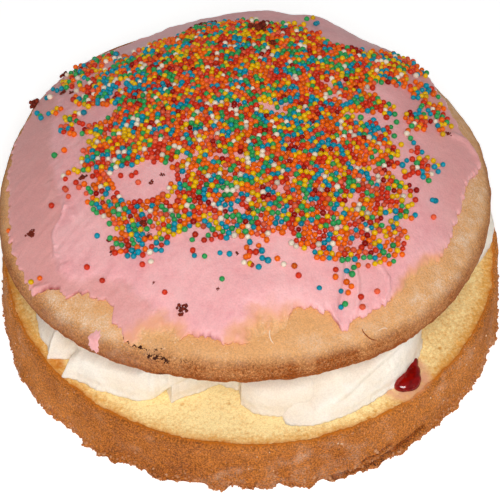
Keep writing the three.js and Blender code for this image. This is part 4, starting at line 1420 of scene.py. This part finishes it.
    def execute(self, context):
        """Jam first, then the cream that stands on it."""
        material = jam_material()
        self.jam_spread(material)
        self.jam_bead(material)
        material = cream_material()
        self.core(material)
        for number, swirl in enumerate(SWIRLS, 1):
            self.swirl(number, swirl, material)
        return {"FINISHED"}


class CAKE_OT_upper_sponge(bpy.types.Operator):
    """Make the upper layer: a browned side under a paler shoulder with flour on it"""

    bl_idname = "cake.upper_sponge"
    bl_label = "Upper Sponge"

    COLUMNS = 720
    # The places below count height up the side on as reach past 1, so this is its lower corner
    CORNER = 1.084
    # Floury spots: degrees, reach, half turn, half reach, strength
    FLOURY = [(-130, 0.97, 15, 0.07, 1.25), (-118, 1.02, 9, 0.05, 0.9), (-70, 0.96, 12, 0.035, 0.6),
              (-40, 0.96, 22, 0.04, 0.9), (-12, 0.935, 26, 0.055, 1.25), (22, 0.93, 18, 0.055, 1.2),
              (-95, 0.985, 8, 0.02, 0.3), (60, 1.0, 20, 0.05, 0.4), (130, 1.0, 24, 0.05, 0.5),
              (-170, 1.0, 12, 0.05, 0.6)]
    # Burnt lines on the shoulder: path, half width, strength
    SCORCHES = [
        ([(-40.2, -84.4), (-38.2, -85.7), (-36.4, -86.7), (-34.6, -87.6)], 1.0, 0.85),
        ([(-34.6, -87.8), (-32.6, -88.3), (-30.6, -88.9), (-27, -89.7)], 0.6, 0.55),
        ([(-31.8, -90.4), (-29.7, -91.4), (-28.5, -91.7), (-26.8, -91.9), (-24.8, -92.7)], 0.9, 0.7),
        ([(-39, -86), (-33, -89.5), (-25, -92), (-16, -94.5)], 2.6, 0.38),
    ]
    # Browned creases low on the shoulder: path, half width, strength
    CREASES = [
        ([(26, -92.8), (27.7, -92.1), (29.7, -91.5), (31.7, -90.9), (33.3, -90.2), (35.7, -89.4),
          (37.6, -88.7), (39.6, -87.8)], 0.9, 0.27),
        ([(44, -86), (50, -82), (57, -77)], 0.8, 0.12),
        ([(-10, -94.5), (4, -95.5), (18, -95)], 1.0, 0.12),
    ]
    # Strands on the shoulder: path, width, lift, lighter and darker colour
    STRANDS = [
        ([(10.5, -83.8), (10, -84.5), (9.6, -85.4), (9.7, -86.5), (10.1, -87.8), (11.1, -89)],
         0.5, 0.25, "flour", "pale_crumb"),
        ([(47.4, -80.6), (48.4, -79.8), (49.6, -79.2), (50.8, -79.1)], 0.4, 0.2, "flour", "pale_crumb"),
        ([(41.6, -80.9), (42.2, -82.1), (43.4, -83), (44.6, -83.6), (46, -83.6), (47, -83.5)],
         0.45, 0.02, "crust_dark", "dark_crumb"),
    ]

    def strand(self, number, path, width, lift, light, dark):
        """A closed tube along a path over the dome, whose width grows and shrinks from its ends
        as the root of 4t(1-t)."""
        corners = np.array(path, float)
        along = np.append(0, np.cumsum(np.hypot(*np.diff(corners, axis=0).T)))
        t = np.linspace(0.01, 0.99, 30)
        place = np.array([np.interp(t * along[-1], along, values) for values in corners.T])
        for _ in range(3):
            place[:, 1:-1] = (place[:, :-2] + 2 * place[:, 1:-1] + place[:, 2:]) / 4
        angle, reach = on_dome(*place)
        up = dome_normal(angle, reach)
        centre = dome_point(angle, reach) + lift * up
        side = np.cross(up, unit(np.gradient(centre, axis=0)))
        turn = columns_around(8)[None, :, None]
        radius = (width / 2 * np.sqrt(4 * t * (1 - t)))[:, None, None]
        rings = centre[:, None] + radius * (np.cos(turn) * side[:, None] + np.sin(turn) * up[:, None])
        values = {"shade": np.full(rings.shape[:2], 0.3)}
        material = crumb_material("strand_" + light, light, dark)
        parts = map(to_cake, (centre[0], rings, centre[-1]))
        finish_skin(f"crust_strand_{number}", parts, material, values)

    def execute(self, context):
        """The underside is flat but for its droop, the side bulges between two heights, and the
        dome follows. Where no icing lies, the crust moves along its normal by noise."""
        angle = columns_around(self.COLUMNS)[None]
        under = steps((0.05, 0.86, 7), (0.86, 0.995, 20))[:, None]
        level = np.linspace(0, 1, 12)[:-1, None]
        reach = np.append(steps((1, 0.8, 42), (0.8, 0.06, 12)), 0.06)[:, None]
        radius = wavy(UPPER_RADIUS, UPPER_WAVES, angle)
        droop = UPPER_SAG * np.cos(2 * angle)
        filled = eased(level, 0, 0.35) * (1 - eased(level, 0.72, 1))
        inset = UPPER_SIDE_BULGE * (1 - eased(level, 0, 0.35)) - UPPER_SIDE_BULGE * filled
        rings = np.concatenate([
            about_axis((radius - UPPER_SIDE_BULGE) * under, angle, droop * under),
            about_axis(radius - inset, angle, UPPER_SIDE * level + droop),
            dome_point(angle + 0 * reach, reach + 0 * angle),
        ])
        out = np.concatenate([under + 0.4, 1 + (1 - level) * UPPER_SIDE / UPPER_RADIUS, reach])
        out = out + 0 * angle
        is_seen = np.arange(len(rings))[:, None] >= len(under)

        bare = eased(out - icing_edge(angle), -0.012, 0.004)
        dents = 0.8 * rough(rings, 9, 81, 2) + 0.25 * rough(rings, 1.6, 84, 2)
        push = bare * size_of("crust_relief") * dents - 0.12 * (1 - bare)
        chipped = 0.2 * noise(rings, 5, 86) + 0.3 * noise(rings, 1.6, 87)
        push = push + bell(out - 1.08, 0.02) * chipped
        rings = rings + push[..., None] * ring_normals(rings)

        x, y = rings[..., 0], rings[..., 1]
        place = rings * (1, 1, 0.6)
        band = eased(out, 0.968, 1.012)
        bake = 0.1 + 0.62 * band + 0.4 * eased(out, 1.03, 1.08) + 0.1 * rough(place, 7, 91, 2)
        bake = bake - 0.15 * eased(0.985 - out, 0, 0.03)
        bake = bake + lines(x, y + 0.6 * noise(rings, 4, 89), self.CREASES, np.add)
        flour = spots(angle, out, self.FLOURY) * (1 - 0.7 * band)
        flour = flour * (0.5 + 0.5 * eased(rough(place, 5, 95), -0.6, 0.5))
        char = lines(x, y + 0.5 * noise(rings, 3, 88), self.SCORCHES, np.maximum)
        values = {
            "crumb": 0 * out, "rim": 0.6 * bell(out - self.CORNER, 0.007) * is_seen,
            "bake": np.clip(bake, 0, 1), "flour": np.clip(flour, 0, 1), "char": char * is_seen,
            "depth": 0 * out, "stain": 0 * out,
        }
        material = sponge_material("upper_sponge", "crust_light", "crust_dark", 0.1)
        parts = map(to_cake, (np.zeros(3), rings, dome_point(0.0, 0.0)))
        finish_skin("upper_sponge", parts, material, values, ["sponge_upper"])
        for number, strand in enumerate(self.STRANDS, 1):
            self.strand(number, *strand)
        return {"FINISHED"}


class CAKE_OT_icing(bpy.types.Operator):
    """Make the ragged coat of icing on the dome"""

    bl_idname = "cake.icing"
    bl_label = "Icing"

    COLUMNS = 1080
    # How far in from the edge the rings lie: close together at first, then in two wider stretches
    EDGE_RINGS = [0, 0.12, 0.3, 0.55, 0.85, 1.2, 1.6, 2.1, 2.7, 3.4]
    UNDER_RINGS = [0.8, 0.5, 0.2, 0.08, 0.03, 0.012]
    FULL_WIDTH = 94.0
    # Lips of the icing painted dark red, partly reddened by jam and partly painted shadow under the
    # lips: x, y, half length, half width, turn, strength
    RED_LIPS_AND_SHADOWS = [(-68, -62.5, 6, 3, 0, 1.5), (-12, -87.5, 10, 4, 0, 0.45), (-57, -67, 5, 3, 0, 0.7),
                (33.5, -81, 3, 3, 0, 0.8)]
    FLECK_ANGLE = -121.7
    FLECK_DOWN = 1.5
    FLECK_SIZE = (2.3, 4.3)

    def execute(self, context):
        """Rings at set distances in from the deckled edge: close together at the edge, where the
        coat rounds off, and wider towards the peak. Where it is worn through it sinks into the
        sponge, and its underside lies just within the sponge all over."""
        angle = columns_around(self.COLUMNS)[None]
        edge = icing_edge(angle)
        inwards = np.append(self.EDGE_RINGS, steps((4.1, 30, 34), (30, 92, 34)))[:, None]
        reach = edge * (1 - inwards / self.FULL_WIDTH)
        turned = angle + 0 * reach
        thickness, worn, single = icing_coat(turned, reach)
        gone = eased(worn, 0.5, 0.96)
        lift = (ICING_BASE + thickness) * (1 - gone) - ICING_SINK * gone
        top = dome_point(turned, reach) + dome_normal(turned, reach) * lift[..., None]
        under_reach = edge * (1 - np.array(self.UNDER_RINGS)[:, None])
        under_turned = angle + 0 * under_reach
        under = dome_point(under_turned, under_reach)
        under = under - 2 * ICING_SINK * dome_normal(under_turned, under_reach)

        x, y, flat = top[..., 0], top[..., 1], top * (1, 1, 0)
        inside = (edge - reach) * UPPER_RADIUS
        pale = 0.8 * np.clip(0.5 * rough(flat, 9, 98, 2) + 0.3 * eased(inside, 8, 0), 0, 1)
        streaks = noise(on_plane(0.16 * (x + y), x - y), 3.2, 99)
        blotched = np.maximum(single, 0.5 * eased(-x, 35, 55))
        pale = np.clip(pale + (0.5 * streaks + 0.35 * rough(flat, 7, 96, 3)) * blotched, 0, 1)
        # Dark red along the lips of the edge: partly jam stain, partly painted shadow under the lips
        lip_stain_and_shadow = patches(x, y, self.RED_LIPS_AND_SHADOWS, np.maximum) * bell(inside, 0.9)
        lip_stain_and_shadow = np.clip(lip_stain_and_shadow * 1.6 * (0.5 + 0.5 * noise(flat, 1.6, 97)), 0, 1)
        values = {
            name: np.concatenate([0 * under_turned, value])
            for name, value in (("lip_stain_and_shadow", lip_stain_and_shadow), ("worn", worn), ("pale", pale), ("single", single))
        }
        peak = dome_point(0.0, 0.0)
        at_peak, _, _ = icing_coat(np.zeros(1), np.full(1, 0.02))
        crest = peak + [0, 0, ICING_BASE + at_peak[0]]
        material = icing_material()
        parts = map(to_cake, (peak, np.concatenate([under, top]), crest))
        finish_skin("pink_icing", parts, material, values, ["icing"])
        self.fleck(material)
        return {"FINISHED"}

    def fleck(self, material):
        """A small smear of icing over the corner of the side: an oval with a ragged outline, whose
        height over the crust is the root of one less how far out a point lies."""
        turn = columns_around(96)[None]
        outwards = [0.4, 0.8]
        part = np.concatenate([outwards, np.cos(np.linspace(0, math.pi / 2, 12)[:-1]), [0.05]])[:, None]
        circle = about_axis(4, turn, 0.0)
        ragged = 1 + 0.2 * noise(circle, 2.2, 35) + 0.24 * noise(circle, 0.9, 36)
        half_turn, half_down = self.FLECK_SIZE
        angle = math.radians(self.FLECK_ANGLE) + half_turn / UPPER_RADIUS * part * ragged * np.cos(turn)
        down = half_down * part * ragged * np.sin(turn) + self.FLECK_DOWN
        is_top = np.arange(len(part))[:, None] >= len(outwards)
        crown = np.where(is_top, 0.15 + 0.5 * np.sqrt(np.maximum(0, 1 - part)), -ICING_SINK)
        crown = crown + 0.5 * eased(down, 0, 3) * is_top
        over = dome_point(angle, np.clip(1 - np.maximum(-down, 0) / UPPER_RADIUS, 0, 1))
        over[..., 2] -= np.maximum(down, 0)
        facing = unit(about_axis(1, angle, eased(-down, -2, 2)))
        rings = over + facing * crown[..., None]
        centre = rings[-1].mean(axis=0)
        values = {key: 0 * down for key in ("worn", "pale", "lip_stain_and_shadow")}
        values["single"] = 0.5 + 0.5 * noise(rings, 1.2, 37)
        inside = centre - 2 * ICING_SINK * facing[-1].mean(axis=0)
        finish_skin("icing_fleck", map(to_cake, (inside, rings, centre)), material, values)


def pairs_within(points, limit):
    """Every pair of points in the plane closer than limit, found by comparing each point with
    those that follow it in order of x and are not too far along."""
    order = np.argsort(points[:, 0], kind="stable")
    x, y = points[order].T
    ends = np.searchsorted(x, x + limit)
    counts = ends - np.arange(len(x)) - 1
    first = np.repeat(np.arange(len(x)), counts)
    second = np.arange(counts.sum()) - np.repeat(np.cumsum(counts) - counts, counts) + first + 1
    close = (x[first] - x[second]) ** 2 + (y[first] - y[second]) ** 2 < limit**2
    return order[first[close]], order[second[close]]


def kept_apart(points, limit):
    """Which points stay when, of any two closer than limit, the one that comes later goes."""
    first, second = pairs_within(points, limit)
    rank = np.arange(len(points))
    undecided = np.ones(len(points), bool)
    kept = np.zeros(len(points), bool)
    while undecided.any():
        live = undecided[first] & undecided[second]
        a, b = first[live], second[live]
        lowest = rank.copy()
        np.minimum.at(lowest, a, rank[b])
        np.minimum.at(lowest, b, rank[a])
        chosen = undecided & (lowest == rank)
        kept |= chosen
        undecided &= ~chosen
        undecided[b[chosen[a]]] = False
        undecided[a[chosen[b]]] = False
    return kept


def pushed_apart(points, limit, rounds):
    """Moves points that are closer than limit apart, each by two fifths of what is missing."""
    points = points.copy()
    for _ in range(rounds):
        a, b = pairs_within(points, limit)
        gap = points[a] - points[b]
        length = np.maximum(np.hypot(*gap.T), 1e-6)[:, None]
        move = 0.4 * (limit - length) * gap / length
        np.add.at(points, a, move)
        np.add.at(points, b, -move)
    return points


class CAKE_OT_sprinkles(bpy.types.Operator):
    """Strew tiny round sprinkles over the icing, thickly in the middle"""

    bl_idname = "cake.sprinkles"
    bl_label = "Sprinkles"

    SEED = 7
    TRIES = 60000
    HALF_FIELD = 92
    REACH_LIMIT = 0.93
    # How close two may lie, in their own widths: at first, when side by side, and when heaped
    FIRST_GAP = 0.66
    SIDE_GAP = 0.8
    HEAP_GAP = 1.2

    def cover(self, x, y):
        """The share of the icing that sprinkles cover: the strongest patch, less the gaps."""
        share = patches(x, y, SPRINKLE_PATCHES, np.maximum, softness=0.38)
        for *shape, strength in SPRINKLE_GAPS:
            share = share * (1 - strength * patch(x, y, *shape, softness=0.45))
        return share * (0.97 + 0.22 * rough(on_plane(x, y), 6, 101, 2))

    def colours(self, x, y, draws):
        """A colour number for each sprinkle: the highest of the colours' shares plus chance plus
        slow noise, so that the same colour often lies together."""
        scores = [
            math.log(share) + draws.gumbel(size=len(x)) + 1.1 * noise(on_plane(x, y), 5, 111 + number)
            for number, share in enumerate(COLOUR_SHARES.values())
        ]
        return np.argmax(scores, axis=0)

    def execute(self, context):
        """Points are drawn evenly over the dome, kept by the cover at each, and thinned and
        pushed until they lie side by side; then some more are heaped on the thickest parts."""
        draws = np.random.default_rng(self.SEED)
        wide = size_of("sprinkle")
        place = draws.uniform(-self.HALF_FIELD, self.HALF_FIELD, (self.TRIES, 2))
        place = place[self.cover(*place.T) > 0.03]
        place = place[kept_apart(place, wide * self.FIRST_GAP)]
        place = pushed_apart(place, wide, 25)
        clumps = 0.5 + 0.5 * noise(on_plane(*place.T), 4, 121)
        chance = 0.6 * draws.uniform(size=len(place)) + 0.4 * clumps
        place = place[chance < self.cover(*place.T)]
        lowest = kept_apart(place, wide * self.SIDE_GAP)
        heap = place[~lowest]
        heap = heap[kept_apart(heap, wide * self.HEAP_GAP)]
        place = place[lowest]
        strays = np.array([(x, y) for x, y, _ in STRAY_SPRINKLES])
        x, y = np.concatenate([place, heap, strays]).T
        lift = np.concatenate([
            draws.uniform(0.2, 0.42, len(place)) * wide, draws.uniform(0.85, 1.0, len(heap)) * wide,
            np.full(len(strays), 0.3 * wide),
        ])
        names = list(COLOUR_SHARES)
        colour = self.colours(x, y, draws)
        colour[-len(strays):] = [names.index(name) for _, _, name in STRAY_SPRINKLES]
        centre, reach = icing_surface(x, y, lift)
        stays = reach < self.REACH_LIMIT
        stays[-len(strays):] = True
        size = wide * (1 + 0.07 * draws.normal(size=len(x)))[:, None]
        size = np.clip(size * (1 + 0.04 * draws.normal(size=(len(x), 3))), 0.8 * wide, 1.15 * wide)
        shade = np.clip(0.05 + 0.12 * draws.normal(size=len(x)), 0, 0.5)
        for number, name in enumerate(names):
            mine = stays & (colour == number)
            points, faces = lumps(centre[mine], size[mine], draws, 0.015)
            values = {"shade": for_each_point(shade[mine])}
            finish_mesh("sprinkles_" + name, points, faces, sugar_material(name), values)
        return {"FINISHED"}


class CAKE_OT_crumbs(bpy.types.Operator):
    """Scatter dark crumbs over the icing and pale crumbs over the sides and the foot"""

    bl_idname = "cake.crumbs"
    bl_label = "Crumbs"

    SEED = 19
    CLOT_BITS = 22
    SIDE_COUNT = 1400

    def dark_crumbs(self, draws):
        """Each dark crumb is a clot of several lumpy balls about its place."""
        x, y, size, lift = np.repeat(np.array(DARK_CRUMBS).T, self.CLOT_BITS, axis=1)
        x = x + draws.normal(0, 0.28, len(x)) * size
        y = y + draws.normal(0, 0.28, len(y)) * size
        bit = size * draws.uniform(0.18, 0.4, len(size))
        centre, _ = icing_surface(x, y, 0.25 * bit + lift)
        points, faces = lumps(centre, bit[:, None] * np.ones(3), draws, 0.3)
        values = {"shade": for_each_point(draws.uniform(0, 1, len(centre)))}
        material = crumb_material("dark_crumb", "dark_crumb", "dark_crumb_deep")
        finish_mesh("dark_crumbs", points, faces, material, values)

    def side_crumbs(self, draws):
        """Loose crumbs on the lower layer's side, most of them low down and some near the rim."""
        count = self.SIDE_COUNT
        rings, _, _, _, on_side, _ = lower_skin()
        on_skin = rings[on_side[:, 0] > 0.9]
        row = np.abs(draws.normal(0, 0.16, count)) % 1 * len(on_skin)
        on_rim = draws.uniform(size=count) < 0.03
        row = np.where(on_rim, draws.uniform(0.3, 0.98, count) * len(on_skin), row).astype(int)
        centre = on_skin[row, draws.integers(0, LOWER_COLUMNS, count)]
        size = np.clip(draws.lognormal(0, 0.35, count), 0.5, 1.7) * size_of("crumb")
        size = size * np.where(on_rim, 0.7, 1.0)
        centre[:, 2] = np.maximum(centre[:, 2], 0.8 * size)
        points, faces = lumps(centre, size[:, None] * draws.uniform(0.6, 1.4, (count, 3)), draws, 0.35)
        shade = np.where(on_rim, draws.uniform(0, 0.4, count), draws.uniform(0.8, 1, count))
        material = crumb_material("side_crumb", "pale_crumb", "pale_crumb_deep")
        finish_mesh("side_crumbs", points, faces, material, {"shade": for_each_point(shade)})

    def execute(self, context):
        """Both kinds draw from one line of random numbers, the dark ones first."""
        draws = np.random.default_rng(self.SEED)
        self.dark_crumbs(draws)
        self.side_crumbs(draws)
        return {"FINISHED"}


class CAKE_PT_panel(bpy.types.Panel):
    """The cake's pieces and settings in the 3D view's sidebar"""

    bl_idname = "CAKE_PT_panel"
    bl_label = "Sponge Sandwich Cake"
    bl_space_type = "VIEW_3D"
    bl_region_type = "UI"
    bl_category = "Cake"

    def draw(self, context):
        """Lists the operators in the order they run, then the sizes and colours."""
        for maker in MAKERS:
            self.layout.operator(maker.bl_idname)
        for settings in (context.scene.cake_sizes, context.scene.cake_colours):
            box = self.layout.box()
            for key in settings.__annotations__:
                box.prop(settings, key)


MAKERS = (
    CAKE_OT_stage, CAKE_OT_lower_sponge, CAKE_OT_filling, CAKE_OT_upper_sponge, CAKE_OT_icing,
    CAKE_OT_sprinkles, CAKE_OT_crumbs,
)
CLASSES = (CakeSizes, CakeColours, *MAKERS, CAKE_PT_panel)


def register():
    """Makes the classes known to Blender, and gives the scene its settings."""
    for each in CLASSES:
        bpy.utils.register_class(each)
    bpy.types.Scene.cake_sizes = bpy.props.PointerProperty(type=CakeSizes)
    bpy.types.Scene.cake_colours = bpy.props.PointerProperty(type=CakeColours)


def unregister():
    """Takes back what register did."""
    del bpy.types.Scene.cake_colours
    del bpy.types.Scene.cake_sizes
    for each in reversed(CLASSES):
        bpy.utils.unregister_class(each)


def main():
    """Makes every piece in order."""
    register()
    for maker in MAKERS:
        area, name = maker.bl_idname.split(".")
        getattr(getattr(bpy.ops, area), name)()


if __name__ == "__main__":
    main()
